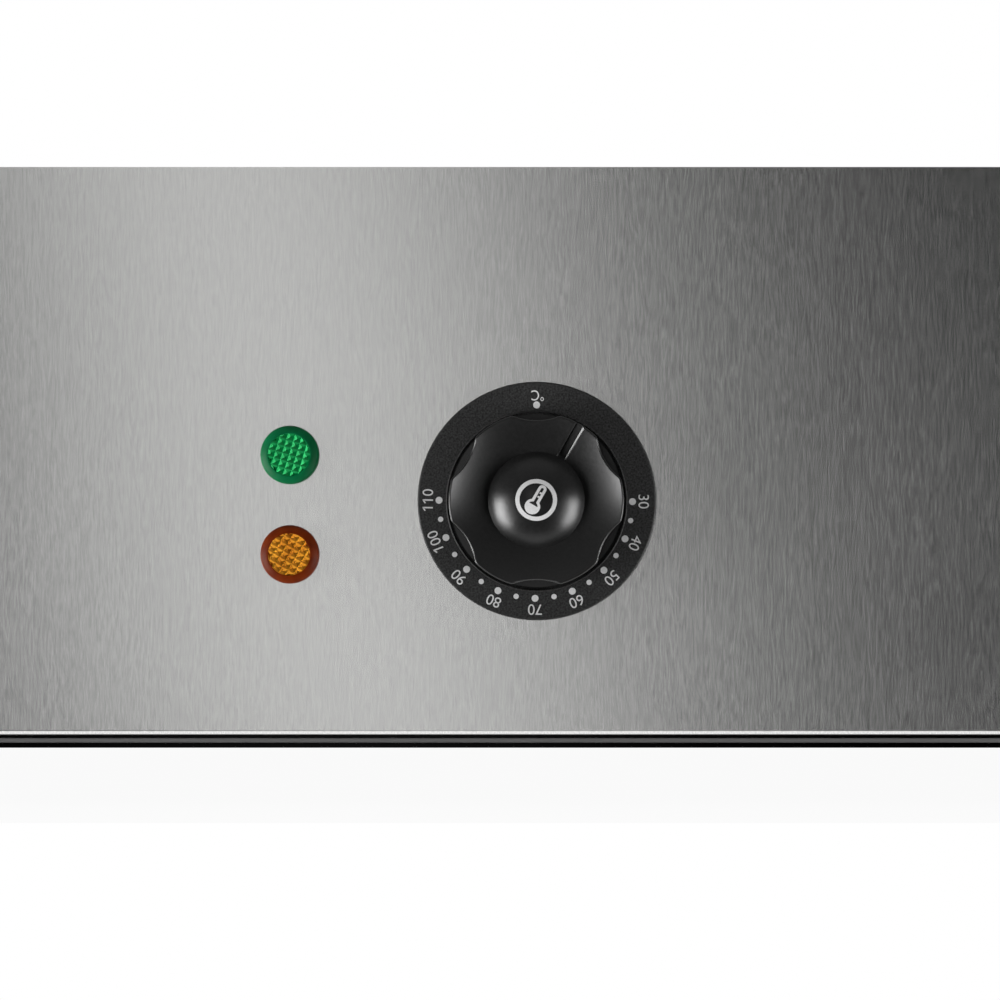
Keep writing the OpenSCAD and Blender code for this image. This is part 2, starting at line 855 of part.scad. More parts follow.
module knob() {
    r = knob_d / 2;
    c = crown_d / 2;
    crown = 1.1;
    dish = 4;
    bow = 0.35;
    edge = 0.5;
    wall = 4;
    top = knob_h - crown;
    bore_l = 13;
    color("black")
        at_front(knob_x, knob_z)
            rotate([90, 0, 0])
                rotate([0, 0, -pointer_turn])
                    difference() {
                        rotate_extrude()
                            polygon(knob_outline(r, c, top, edge, dish, bow, crown));
                        translate([0, 0, skirt_z - 1])
                            difference() {
                                cylinder(r = r - wall, h = top - dish - wall - skirt_z + 2);
                                cylinder(d = spindle_d + 6, h = knob_h);
                            }
                        for (i = [0:scallops - 1])
                            rotate([0, 0, 360 / scallops * (i + 0.5)])
                                translate([0, r - scallop_deep + scallop_r, scallop_z])
                                    cylinder(r = scallop_r, h = knob_h);
                        translate([-1, c + 0.4, top - dish - 1.1])
                            rotate([22, 0, 0])
                                cube([2, r, knob_h]);
                        translate([0, 0, skirt_z - 1])
                            difference() {
                                cylinder(d = spindle_d + 2 * run_fit, h = bore_l);
                                translate([-spindle_d, spindle_d / 2 - 1.4 + run_fit, 0])
                                    cube([2 * spindle_d, spindle_d, bore_l]);
                            }
                    }
}

// Thermostat spindle with its flat, turning with the knob
module spindle() {
    color("silver")
        at_front(knob_x, knob_z)
            rotate([90, 0, 0])
                rotate([0, 0, -pointer_turn])
                    difference() {
                        translate([0, 0, -12])
                            cylinder(d = spindle_d, h = 12 + skirt_z + 11);
                        translate([-spindle_d, spindle_d / 2 - 1.4, skirt_z - 1])
                            cube([2 * spindle_d, spindle_d, 20]);
                    }
}

// Thermostat behind the panel
module thermostat() {
    start = sheet + stat_plate_t + 2 * sheet_fit;
    color("tan")
        at_front(knob_x, knob_z)
            difference() {
                translate([-stat_w / 2, start, -stat_h / 2])
                    cube([stat_w, stat_d, stat_h]);
                translate([0, start - 1, 0])
                    rod_y(spindle_d + 2 * run_fit, 13);
                for (s = [-1, 1])
                    translate([s * stat_screw_x, start - 1, 0])
                        rod_y(4 + 2 * run_fit, 8);
            }
}

module thermostat_plate() {
    color("gray")
        at_front(knob_x, knob_z)
            difference() {
                translate([-stat_w / 2 - 3, sheet + sheet_fit, -stat_h / 2 - 3])
                    cube([stat_w + 6, stat_plate_t, stat_h + 6]);
                rod_y(spindle_hole, 10);
                for (s = [-1, 1])
                    translate([s * stat_screw_x, 0, 0])
                        rod_y(4.4, 10);
            }
}

module thermostat_screws() {
    color("gray")
        at_front(knob_x, knob_z)
            for (s = [-1, 1])
                translate([s * stat_screw_x, -dial_floor, 0])
                    rotate([90, 0, 0])
                        screw(4, 7, dial_floor + sheet + stat_plate_t + 5);
}

// Capillary from the thermostat to the bulb in the water
module capillary() {
    start_y = front_y + stat_back + sheet_fit + 1;
    end_y = tank_front_y + bulb_start - sheet_fit - 1;
    step = (bulb_x - knob_x - 12) / 4;
    color("goldenrod")
        bent_tube([[knob_x + 6, start_y, knob_z], [knob_x + 6, start_y + 11, knob_z],
            [knob_x + 6 + step, start_y + 13, knob_z - 5], [knob_x + 6 + 2 * step, start_y + 13, knob_z + 5],
            [knob_x + 6 + 3 * step, start_y + 12, knob_z - 4], [bulb_x - 6, tank_front_y - 16, knob_z - 8],
            [bulb_x, tank_front_y - 16, knob_z - 15], [bulb_x, tank_front_y - 16, element_z + 5],
            [bulb_x, tank_front_y - 12, element_z], [bulb_x, end_y, element_z]], 2);
}

module thermostat_bulb() {
    color("goldenrod")
        translate([bulb_x, tank_front_y + bulb_start, element_z])
            rod_y(bulb_d, bulb_l);
}

module bulb_clip() {
    color("silver")
        for (y = [bulb_start + 19, well_l / 2 - saddle_y - 12.75])
            translate([bulb_x, tank_front_y + y, element_z])
                difference() {
                    translate([-5, -4, tank_z + sheet - element_z])
                        cube([10, 8, element_z - tank_z - sheet + 1]);
                    translate([0, -5, 0])
                        rod_y(bulb_d + 2 * run_fit, 10);
                }
}

// Tubular heating element lying in the tank
module heating_element() {
    reach = element_back;
    bend_r = element_pitch / 2;
    front_in = tank_front_y + 62;
    color("dimgray")
        union() {
            for (s = [-1, 1]) {
                translate([s * 1.5 * element_pitch, tank_front_y - 36, element_z])
                    rod_y(4, 13);
                translate([s * 1.5 * element_pitch, tank_front_y - 24, element_z])
                    rod_y(element_d, pan_y + reach - tank_front_y + 24);
                translate([s * element_pitch / 2, front_in, element_z])
                    rod_y(element_d, pan_y + reach - front_in);
                translate([s * element_pitch, pan_y + reach, element_z])
                    rotate_extrude(angle = 180)
                        translate([bend_r, 0])
                            circle(d = element_d);
            }
            translate([0, front_in, element_z])
                rotate([0, 0, 180])
                    rotate_extrude(angle = 180)
                        translate([bend_r, 0])
                            circle(d = element_d);
        }
}

module at_element_ends() {
    for (s = [-1, 1])
        translate([s * 1.5 * element_pitch, tank_front_y, element_z])
            children();
}

module element_seals() {
    color("firebrick")
        at_element_ends()
            difference() {
                translate([0, sheet_fit, 0])
                    rod_y(16, 1.8);
                translate([0, -1, 0])
                    rod_y(12 + 2 * run_fit, 5);
            }
}

module element_saddles() {
    color("silver")
        for (s = [-1, 1])
            translate([0, pan_y + s * saddle_y, 0])
                difference() {
                    translate([-saddle_l / 2, -saddle_t / 2, tank_z + sheet])
                        cube([saddle_l, saddle_t, element_z - tank_z - sheet]);
                    for (x = [-1.5, -0.5, 0.5, 1.5])
                        translate([x * element_pitch, -5, element_z])
                            rod_y(element_d + 2 * run_fit, 10);
                    translate([bulb_x - 8, -5, tank_z + sheet + 2])
                        cube([16, 10, element_z]);
                }
}

// Perforated tray that keeps the pans off the element
module guard_tray() {
    w = well_w - 2 * tank_corner - 20;
    l = well_l - 2 * tank_corner - 20;
    color("silver")
        difference() {
            union() {
                translate([0, pan_y, tray_z - sheet])
                    linear_extrude(sheet)
                        rounded_rect(w, l, 10);
                for (x = [-1, 1], y = [-1, 1])
                    translate([x * (w / 2 - 14), pan_y + y * (l / 2 - 14), tank_z + sheet])
                        cylinder(d = 8, h = tray_z - tank_z - sheet);
            }
            for (x = [-4:4], y = [-2:2])
                translate([x * 46, pan_y + y * 44, tray_z - sheet - 1])
                    cylinder(d = 14, h = sheet + 2);
        }
}

// Pilot lamps: lens in front of the panel, barrel and clip behind it
module lens() {
    r = lens_d / 2;
    rotate([90, 0, 0])
        difference() {
            rotate_extrude()
                polygon([[0, -6], [barrel_d / 2 - 1.4, -6], [barrel_d / 2 - 1.4, 0.05], [r, 0.05], [r, 1.2],
                    [r - 0.5, 1.9], [r - 2, lens_h], [0, lens_h]]);
            translate([0, 0, -7])
                cylinder(r = barrel_d / 2 - 2.4, h = 7 + lens_h - 1.4);
        }
}

module lens_green() color("green") at_front(-lamp_x, green_z) lens();

module lens_amber() color("orange") at_front(-lamp_x, amber_z) lens();

module lamp_barrels() {
    color("white")
        for (z = [green_z, amber_z])
            at_front(-lamp_x, z)
                translate([0, 0.1, 0])
                    difference() {
                        union() {
                            rod_y(barrel_d, 24);
                            translate([0, 24, 0])
                                rod_y(barrel_d - 2, 4);
                        }
                        translate([0, -1, 0])
                            rod_y(barrel_d - 2.4, 20);
                    }
}

module lamp_clips() {
    color("gray")
        for (z = [green_z, amber_z])
            at_front(-lamp_x, z)
                translate([0, sheet + sheet_fit, 0])
                    difference() {
                        rod_y(barrel_d + 7, 1.6);
                        translate([0, -1, 0])
                            rod_y(barrel_d + 2 * run_fit, 4);
                    }
}

module lamp_bulbs() {
    color("orangered")
        for (z = [green_z, amber_z])
            at_front(-lamp_x, z)
                translate([0, 7.5, 0])
                    rod_y(4.5, 11.5);
}

// Drain pipe from the tank to the tap
module drain_pipe() {
    back = tank_front_y - front_y;
    color("silver")
        at_drain()
            difference() {
                translate([0, -valve_start - 8, 0])
                    rod_y(pipe_d, back + valve_start + 8);
                translate([0, -valve_start - 9, 0])
                    rod_y(pipe_d - 2 * pipe_wall, back + valve_start + 10);
            }
}

module tap_rose() {
    color("silver")
        at_drain()
            rotate([90, 0, 0])
                difference() {
                    cylinder(d1 = pipe_d + 20, d2 = pipe_d + 14, h = rose_t);
                    translate([0, 0, -1])
                        cylinder(d = pipe_d + 2 * clear, h = rose_t + 2);
                }
}

module valve_body() {
    bore = pipe_d - 2 * pipe_wall;
    color("goldenrod")
        at_drain()
            difference() {
                union() {
                    translate([0, -valve_start, 0])
                        rotate([90, 0, 0])
                            rotate_extrude()
                                polygon([[0, 0], [pipe_d / 2 + 4, 0], [pipe_d / 2 + 4, collar_l - 2],
                                    [valve_d / 2, collar_l + 1], [valve_d / 2, valve_l - collar_l - 1],
                                    [spout_d / 2 + 4, valve_l - collar_l + 2],
                                    [spout_d / 2 + 4, valve_l], [0, valve_l]]);
                    translate([0, -ball_y, 0])
                        cylinder(d = 16, h = valve_d / 2 + 5);
                }
                translate([0, -valve_start - valve_l - 1, 0])
                    rod_y(bore, valve_l + 2);
                translate([0, -ball_y, 0])
                    sphere(d = ball_d + 1);
                translate([0, -valve_start - 8 - 0.2, 0])
                    rod_y(pipe_d + 2 * run_fit, 10);
                translate([0, -valve_start - valve_l - 1, 0])
                    rod_y(spout_d + 2 * run_fit, collar_l - 1);
                translate([0, -ball_y, 0])
                    cylinder(d = 8 + 2 * run_fit, h = valve_d);
            }
}

module valve_ball() {
    color("lightgray")
        at_drain()
            translate([0, -ball_y, 0])
                difference() {
                    sphere(d = ball_d);
                    rod_x(pipe_d - 2 * pipe_wall - 1, ball_d + 2);
                    translate([-5, -1.6, ball_d / 2 - 3])
                        cube([10, 3.2, 5]);
                }
}

module valve_stem() {
    color("silver")
        at_drain()
            translate([0, -ball_y, 0]) {
                translate([-3.8, -1.5, ball_d / 2 - 2.8])
                    cube([7.6, 3, 3.4]);
                translate([0, 0, ball_d / 2 + 0.5])
                    cylinder(d = 8, h = valve_d / 2 + 12 - ball_d / 2);
                translate([0, 0, valve_d / 2 + 12])
                    cylinder(d = 6, h = 8);
            }
}

module packing_nut() {
    color("goldenrod")
        at_drain()
            translate([0, -ball_y, valve_d / 2 + 5])
                hex_nut(17, 8 + 2 * run_fit, 5.6);
}

module lever() {
    color("silver")
        at_drain()
            translate([0, -ball_y, valve_d / 2 + 12.6])
                difference() {
                    union() {
                        cylinder(d = 20, h = 3);
                        translate([0, -6.5, 0])
                            cube([lever_l - 7, 13, 3]);
                        translate([lever_l - 7, 0, 0])
                            cylinder(d = 13, h = 3);
                    }
                    translate([0, 0, -1])
                        cylinder(d = 6 + 2 * run_fit, h = 5);
                }
}

module lever_grip() {
    start = lever_l - 50;
    fit = sheet_fit;
    color("firebrick")
        at_drain()
            translate([0, -ball_y, valve_d / 2 + 12.6])
                difference() {
                    union() {
                        translate([start, -8.5, -2])
                            cube([43, 17, 7]);
                        translate([start + 43, 0, -2])
                            cylinder(d = 17, h = 7);
                    }
                    translate([start - 1, -6.5 - fit, -fit])
                        cube([44, 13 + 2 * fit, 3 + 2 * fit]);
                    translate([start + 43, 0, -fit])
                        cylinder(d = 13 + 2 * fit, h = 3 + 2 * fit);
                }
}

module lever_nut() {
    color("silver")
        at_drain()
            translate([0, -ball_y, valve_d / 2 + 15.7])
                hex_nut(10, 6 + 2 * run_fit, 4);
}

module spout() {
    wall = 2;
    start = spout_start;
    module run(d) {
        translate([0, -start - spout_straight, 0])
            rod_y(d, spout_straight);
        translate([0, -start - spout_straight, -spout_r])
            rotate([0, -90, 180])
                rotate_extrude(angle = 90)
                    translate([spout_r, 0])
                        circle(d = d);
        translate([0, -start - spout_straight - spout_r, -spout_r - spout_drop])
            cylinder(d = d, h = spout_drop);
    }
    color("silver")
        at_drain()
            difference() {
                run(spout_d);
                run(spout_d - 2 * wall);
                translate([0, -start - 1, 0])
                    rod_y(spout_d - 2 * wall, 3);
                translate([0, -start - spout_straight - spout_r, -spout_r - spout_drop - 1])
                    cylinder(d = spout_d - 2 * wall, h = 3);
            }
}

// Cord gland in the rear wall and its lock nut
module cord_gland() {
    color("dimgray")
        translate([gland_x, rear_y, gland_z])
            difference() {
                union() {
                    translate([0, sheet_fit, 0])
                        rotate([-90, 0, 0])
                            cylinder(d = 22 / cos(30), h = gland_flange_t - sheet_fit, $fn = 6);
                    translate([0, gland_flange_t, 0])
                        rotate([-90, 0, 0])
                            cylinder(d1 = 19, d2 = 13, h = gland_cap_l);
                    translate([0, -sheet - 10, 0])
                        rod_y(gland_thread_d, sheet + 12);
                }
                translate([0, -sheet - 11, 0])
                    rod_y(gland_bore, 40);
            }
}

// Mains terminals on the base
module terminal_block() {
    color("ivory")
        translate([block_x, block_y, floor_z])
            difference() {
                cube([54, 20, 18]);
                for (i = [0:2])
                    translate([6 + i * 16, 5, 6])
                        cube([10, 10, 13]);
            }
}

module terminal_screws() {
    color("gold")
        translate([block_x, block_y, floor_z])
            for (i = [0:2])
                translate([11 + i * 16, 10, 6])
                    cylinder(d = 6, h = 10);
}

// Cut-out on the tank's front wall
module safety_cutout() {
    color("ivory")
        translate([cutout_x, tank_front_y - sheet - sheet_fit, cutout_z])
            rotate([90, 0, 0]) {
                cylinder(d = 24, h = 1.5);
                cylinder(d = 17, h = cutout_t);
            }
}

// Flat plug tabs of the thermostat, the lamps and the cut-out
module spade_tabs() {
    gap = sheet_fit;
    color("gold") {
        at_front(knob_x, knob_z)
            for (x = [-1, 1], z = [-1, 1])
                translate([x * 10 - 3.1, stat_back + gap, z * 11 - 0.4])
                    cube([6.2, tab_l, 0.8]);
        for (z = [green_z, amber_z], x = [-1, 1])
            at_front(-lamp_x, z)
                translate([x * 2.4 - 0.4, lamp_back + gap, -1.4])
                    cube([0.8, tab_l, 2.8]);
        for (x = [-1, 1])
            translate([cutout_x + x * 5 - 0.4, tank_front_y - sheet - cutout_t - 2 * gap - tab_l,
                    cutout_z - 3])
                cube([0.8, tab_l, 6]);
    }
}

// Screws of the feet, the base and the hinge brackets
module casing_screws() {
    color("gray") {
        at_feet()
            translate([0, 0, foot_h - 5])
                rotate([180, 0, 0])
                    screw(4, 8, base_floor + 9);
        at_base_screws()
            translate([0, 0, base_screw_d / 2])
                rotate([180, 0, 0])
                    screw(base_screw_d, base_head_d, base_h + sheet + 1);
        for (side = [-1, 1])
            at_hinges(side)
                for (s = [-1, 1])
                    translate([s * 21, 3, deck_z - axis_z + bracket_t])
                        screw(3, 5.6, bracket_t + sheet + 4);
    }
}

// Threaded ferrules in the tank wall for the element's ends and the capillary
module tank_glands() {
    color("gold") {
        at_element_ends()
            difference() {
                union() {
                    translate([0, -sheet - 10, 0])
                        rod_y(12, sheet + 14);
                    translate([0, 2, 0])
                        rod_y(16, 3);
                }
                translate([0, -30, 0])
                    rod_y(element_d + 2 * run_fit, 60);
            }
        translate([bulb_x, tank_front_y, element_z])
            difference() {
                union() {
                    translate([0, -sheet - 7, 0])
                        rod_y(8, sheet + 12);
                    translate([0, sheet_fit, 0])
                        rod_y(13, 2.5);
                }
                translate([0, -sheet - 10, 0])
                    rod_y(2.4, sheet + 20);
            }
    }
}

// Lock nuts of the element, capillary gland, drain pipe, cord gland and feet
module lock_nuts() {
    color("gold") {
        at_element_ends()
            translate([0, -sheet - sheet_fit, 0])
                rotate([90, 0, 0])
                    hex_nut(17, 12 + 2 * run_fit, 5);
        translate([bulb_x, tank_front_y - sheet - sheet_fit, element_z])
            rotate([90, 0, 0])
                hex_nut(12, 8 + 2 * run_fit, 4);
        at_drain()
            translate([0, sheet + sheet_fit + 5, 0])
                rotate([90, 0, 0])
                    hex_nut(pipe_d + 8, pipe_d + 2 * run_fit, 5);
        translate([gland_x, rear_y - sheet - sheet_fit, gland_z])
            rotate([90, 0, 0])
                hex_nut(20, gland_thread_d + 2 * run_fit, 5);
        at_feet()
            translate([0, 0, floor_z + sheet_fit])
                hex_nut(7, 4 + 2 * run_fit, 3.2);
    }
}

// Insulation under the tank
module insulation_board() {
    color("khaki")
        translate([0, pan_y, floor_z + 0.2])
            linear_extrude(under_tank - 5)
                rounded_rect(well_w - 20, well_l - 20, 12);
}

// Wires, each through points chosen along the bays round the tank
module wiring() {
    side_x = -(well_w + body_w) / 4;
    low_z = floor_z + 22;
    bay_y = front_y + stat_back + 17;
    block_run_y = block_y + 10;
    first_x = block_x + 11;
    second_x = block_x + 27;
    left_end = -1.5 * element_pitch;
    right_end = 1.5 * element_pitch;
    pin_y = tank_front_y - 36 - wire_gap;
    block_end_z = floor_z + 16 + wire_gap;
    tab_y = front_y + stat_back + tab_reach;
    lamp_tab_y = front_y + lamp_back + tab_reach;
    lamp_run_y = lamp_tab_y + 5;
    cutout_tab_y = tank_front_y - sheet - cutout_t - sheet_fit - tab_reach;
    cutout_run_y = cutout_tab_y - 4;
    color("firebrick") {
        wire_run([[first_x, block_run_y, block_end_z], [first_x, block_run_y, low_z],
            [side_x, block_run_y, low_z], [side_x, pin_y - 8, low_z],
            [left_end, pin_y - 8, element_z], [left_end, pin_y, element_z]], wire_d);
        wire_run([[second_x, block_run_y, block_end_z], [second_x, block_run_y, low_z + 6],
            [side_x - 6, block_run_y, low_z + 6], [side_x - 6, bay_y, low_z + 6],
            [knob_x - 10, bay_y, knob_z - 11], [knob_x - 10, tab_y, knob_z - 11]], wire_d);
        wire_run([[knob_x + 10, tab_y, knob_z + 11], [knob_x + 10, bay_y - 4, knob_z + 11],
            [cutout_x - 5, cutout_run_y, cutout_z], [cutout_x - 5, cutout_tab_y, cutout_z]], wire_d);
        wire_run([[cutout_x + 5, cutout_tab_y, cutout_z], [cutout_x + 5, cutout_run_y, cutout_z],
            [right_end, pin_y - 8, element_z + 12], [right_end, pin_y - 8, element_z],
            [right_end, pin_y, element_z]], wire_d);
        wire_run([[knob_x - 10, tab_y, knob_z + 11], [knob_x - 10, lamp_run_y, knob_z + 11],
            [-lamp_x + 2.4, lamp_run_y, green_z], [-lamp_x + 2.4, lamp_tab_y, green_z]], wire_d);
        wire_run([[-lamp_x - 2.4, lamp_tab_y, green_z], [-lamp_x - 2.4, lamp_run_y, green_z],
            [-lamp_x - 2.4, lamp_run_y, amber_z], [-lamp_x - 2.4, lamp_tab_y, amber_z]], wire_d);
    }
}

front_panel();
outer_casing();
top_deck();
water_tank();
base_moulding();
feet();
casing_screws();
pan_left();
pan_right();
divider_bar();
lid_left();
lid_right();
handle_bar_left();
handle_bar_right();
buffers_left();
buffers_right();
leaves_left();
leaves_right();
brackets_left();
brackets_right();
hinge_pins();
rivets_left();
rivets_right();
dial_ring();
knob();
spindle();
thermostat();
thermostat_plate();
thermostat_screws();
capillary();
thermostat_bulb();
bulb_clip();
heating_element();
tank_glands();
element_seals();
element_saddles();
guard_tray();
lens_green();
lens_amber();
lamp_barrels();
lamp_clips();
lamp_bulbs();
spade_tabs();
drain_pipe();
tap_rose();
valve_body();
valve_ball();
valve_stem();
packing_nut();
lever();
lever_grip();
lever_nut();
spout();
cord_gland();
terminal_block();
terminal_screws();
safety_cutout();
insulation_board();
lock_nuts();
wiring();
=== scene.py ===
# %% [markdown]
# An electric bain-marie keeps food warm in a bath of hot water. This lesson dresses its solid
# model for a studio picture: a straight look at the control panel, with brushed stainless steel,
# a black thermostat dial and two pilot lamps. The solids come first, because every new piece and
# every finish is fitted to them.

# %% Load the solids
import math

import bpy
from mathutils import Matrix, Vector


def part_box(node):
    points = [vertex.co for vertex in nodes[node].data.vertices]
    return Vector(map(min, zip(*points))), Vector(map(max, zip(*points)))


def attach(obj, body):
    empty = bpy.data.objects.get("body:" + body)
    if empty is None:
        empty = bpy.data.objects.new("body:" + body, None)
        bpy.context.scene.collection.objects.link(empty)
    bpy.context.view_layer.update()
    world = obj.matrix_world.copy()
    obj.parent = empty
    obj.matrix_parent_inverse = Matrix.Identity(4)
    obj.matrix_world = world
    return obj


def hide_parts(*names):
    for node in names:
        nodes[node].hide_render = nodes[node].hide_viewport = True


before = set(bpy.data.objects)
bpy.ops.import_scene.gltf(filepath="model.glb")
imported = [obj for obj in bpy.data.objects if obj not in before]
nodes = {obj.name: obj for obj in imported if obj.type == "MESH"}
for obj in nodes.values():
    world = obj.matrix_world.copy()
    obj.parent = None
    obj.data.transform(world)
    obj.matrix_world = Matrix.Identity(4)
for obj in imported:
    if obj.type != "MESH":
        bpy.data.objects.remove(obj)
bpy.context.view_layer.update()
MM = 0.001

# %% [markdown]
# The places of the controls are read from the solids, so that print, knob and lenses sit on what
# carries them. The panel faces the viewer, along -Y, and X runs to the right. Blender counts in
# metres. The sizes of small pieces are easier to read in millimetres, so they are written in those
# and multiplied by MM.


# %% Places of the controls
def middle(node):
    """The middle of a node's box."""
    low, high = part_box(node)
    return [(a + b) / 2 for a, b in zip(low, high)]


DIAL_H = 2.6
panel_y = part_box("front_panel")[0][1]
dial_x, _, dial_z = middle("dial_ring")
dial_r = (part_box("dial_ring")[1][0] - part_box("dial_ring")[0][0]) / 2
dial_face = panel_y - DIAL_H * MM
print("panel at y", round(panel_y, 4), "dial centre", round(dial_x, 4), round(dial_z, 4))

# %% [markdown]
# The camera looks square at the panel from 0.75 m. A long lens keeps the edges parallel, as in a
# catalogue picture: 36 mm of sensor over 108 mm of lens takes in 250 mm of the panel at that
# distance. The picture is a cut-out of a wider one, so the camera stands a little to the right of
# the picture's middle and below it, and a lens shift brings the cut-out back.

# %% Camera
VIEW_DISTANCE = 0.75
VIEW_HEIGHT = 0.076
SENSOR_MM, LENS_MM = 36, 108
SIDE_STEP, DOWN_STEP = 0.015, 0.0125
view_width = VIEW_DISTANCE * SENSOR_MM / LENS_MM
camera_data = bpy.data.cameras.new("panel_camera")
camera_data.sensor_width = SENSOR_MM
camera_data.lens = LENS_MM
camera_data.shift_x, camera_data.shift_y = -SIDE_STEP / view_width, DOWN_STEP / view_width
camera = bpy.data.objects.new("panel_camera", camera_data)
camera.location = (SIDE_STEP, panel_y - VIEW_DISTANCE, VIEW_HEIGHT - DOWN_STEP)
camera.rotation_euler = (math.radians(90), 0, 0)
bpy.context.collection.objects.link(camera)
bpy.context.scene.camera = camera
bpy.context.scene.view_settings.view_transform = "Standard"
print("camera at", [round(v, 3) for v in camera.location], "view width", view_width)

# %% [markdown]
# Every material is a small tree of nodes. One function turns a screen colour into the linear
# light that the shader works with, and one adds a node with its settings and links. Patterns are
# placed with Object coordinates, which are metres here, so a pattern of a given size in
# millimetres has a scale of 1000 divided by that size.


# %% Helpers for materials
def linear(code):
    """An sRGB hex colour as linear RGBA."""
    parts = [int(code[i:i + 2], 16) / 255 for i in (1, 3, 5)]
    return [c / 12.92 if c <= 0.04045 else ((c + 0.055) / 1.055) ** 2.4 for c in parts] + [1.0]


def add(tree, kind, values=None, links=None, **settings):
    """A node with its settings, its input values and its incoming links."""
    node = tree.nodes.new(kind)
    for name, value in settings.items():
        setattr(node, name, value)
    for name, value in (values or {}).items():
        node.inputs[name].default_value = value
    for name, output in (links or {}).items():
        tree.links.new(output, node.inputs[name])
    return node


def start_material(name, **values):
    """A material with its shader's sockets set; an underscore in a name stands for a space."""
    material = bpy.data.materials.new(name)
    material.use_nodes = True
    shader = material.node_tree.nodes["Principled BSDF"]
    for socket, value in values.items():
        shader.inputs[socket.replace("_", " ")].default_value = value
    return material, material.node_tree, shader


def per_metre(*sizes_mm):
    """Pattern scales for feature sizes in millimetres."""
    return [1 / (size * MM) for size in sizes_mm]


print("screen grey #808080 in linear light:", round(linear("#808080")[0], 3))

# %% [markdown]
# A white studio surrounds the object. The world is plain white where the camera sees it. White all
# round would be simpler, but the panel would mirror it and lose its shading. So for light and
# reflections the world is white behind the object, a dark grey overhead and nearly black on the
# camera's side.

# %% World
WHITE = (1, 1, 1, 1)
CAMERA_SIDE, FAR_SIDE, OVERHEAD = 0.006, 0.95, 0.2
world = bpy.data.worlds.new("white_studio")
bpy.context.scene.world = world
world.use_nodes = True
sky = world.node_tree
sky.nodes.clear()
way = add(sky, "ShaderNodeTexCoord")
axes = add(sky, "ShaderNodeSeparateXYZ", links={0: way.outputs["Generated"]})
behind = add(sky, "ShaderNodeMapRange",
             {"From Min": -0.35, "From Max": 0.5, "To Min": CAMERA_SIDE, "To Max": FAR_SIDE},
             {"Value": axes.outputs["Y"]}, interpolation_type="SMOOTHSTEP")
above = add(sky, "ShaderNodeMapRange",
            {"From Min": 0.2, "From Max": 0.7, "To Min": 0.0, "To Max": OVERHEAD},
            {"Value": axes.outputs["Z"]}, interpolation_type="SMOOTHSTEP")
level = add(sky, "ShaderNodeMath", links={0: behind.outputs[0], 1: above.outputs[0]},
            operation="MAXIMUM")
sky_rays = add(sky, "ShaderNodeLightPath")
glow = add(sky, "ShaderNodeBackground", {"Color": WHITE}, {"Strength": level.outputs[0]})
plain = add(sky, "ShaderNodeBackground", {"Color": WHITE, "Strength": 1.0})
seen = add(sky, "ShaderNodeMixShader",
           links={0: sky_rays.outputs["Is Camera Ray"], 1: glow.outputs[0], 2: plain.outputs[0]})
add(sky, "ShaderNodeOutputWorld", links={"Surface": seen.outputs[0]})
print("world nodes:", len(sky.nodes))

# %% [markdown]
# The floor is a pale sheet of paper. Lit by the lamps alone it would come out grey, so it glows
# white where the camera, metal or glass sees it. It keeps a share of plain diffuse white, which is
# where the object's soft shadow shows. It ends just in front of the panel.

# %% Floor
FLOOR_FRONT, FLOOR_BACK, FLOOR_SIDE = -0.235, 1.3, 0.95
GLOW_SHARE = 0.95


def settle():
    """Writes the active piece's place, turn and scale into its mesh."""
    bpy.ops.object.transform_apply(location=True, rotation=True, scale=True)
    return bpy.context.object


paper, paper_tree, paper_shader = start_material("matt_white_paper", Base_Color=linear("#f4f4f4"),
                                                 Roughness=0.9)
paper_rays = add(paper_tree, "ShaderNodeLightPath").outputs
mirror_rays = add(paper_tree, "ShaderNodeMath", operation="MAXIMUM",
                  links={0: paper_rays["Is Camera Ray"], 1: paper_rays["Is Glossy Ray"]})
all_rays = add(paper_tree, "ShaderNodeMath", operation="MAXIMUM",
               links={0: mirror_rays.outputs[0], 1: paper_rays["Is Transmission Ray"]})
share = add(paper_tree, "ShaderNodeMath", {1: GLOW_SHARE}, {0: all_rays.outputs[0]},
            operation="MULTIPLY")
shine = add(paper_tree, "ShaderNodeEmission", {"Color": WHITE, "Strength": 1.0})
paper_mix = add(paper_tree, "ShaderNodeMixShader",
                links={0: share.outputs[0], 1: paper_shader.outputs[0], 2: shine.outputs[0]})
paper_tree.links.new(paper_mix.outputs[0], paper_tree.nodes["Material Output"].inputs["Surface"])
bpy.ops.object.select_all(action="DESELECT")
bpy.ops.mesh.primitive_plane_add(size=1, location=(0, (FLOOR_FRONT + FLOOR_BACK) / 2, 0))
bpy.context.object.scale = (2 * FLOOR_SIDE, FLOOR_BACK - FLOOR_FRONT, 1)
floor = settle()
floor.name = "paper_floor"
floor.data.materials.append(paper)
print("floor from y", FLOOR_FRONT, "to", FLOOR_BACK)

# %% [markdown]
# Four lamps do the work. A tall narrow strip left of the camera draws the bright upright band on
# the brushed panel. It leans a little, so the band leans too. Two softboxes stand at the sides, in
# front of the panel and with their middles below the table. They light the dial and draw the
# crescents on the knob's dome. A weak one overhead keeps the upper edges from going black.


# %% Lamps
def lamp(name, place, aim, size, power, lean=0):
    """A rectangular lamp at a place, turned to its aim, its height upright."""
    data = bpy.data.lights.new(name, "AREA")
    data.shape = "RECTANGLE"
    data.size, data.size_y = size
    data.energy = power
    holder = bpy.data.objects.new(name, data)
    holder.location = place
    dx, dy, dz = (b - a for a, b in zip(place, aim))
    turn = math.atan2(dx, dy)
    tilt = math.atan2(dz, math.hypot(dx, dy))
    holder.rotation_mode = "XYZ"
    holder.rotation_euler = (math.radians(90) + tilt, 0, -turn)
    if lean:
        holder.rotation_euler.rotate_axis("Z", math.radians(lean))
    holder.visible_camera = False
    bpy.context.collection.objects.link(holder)


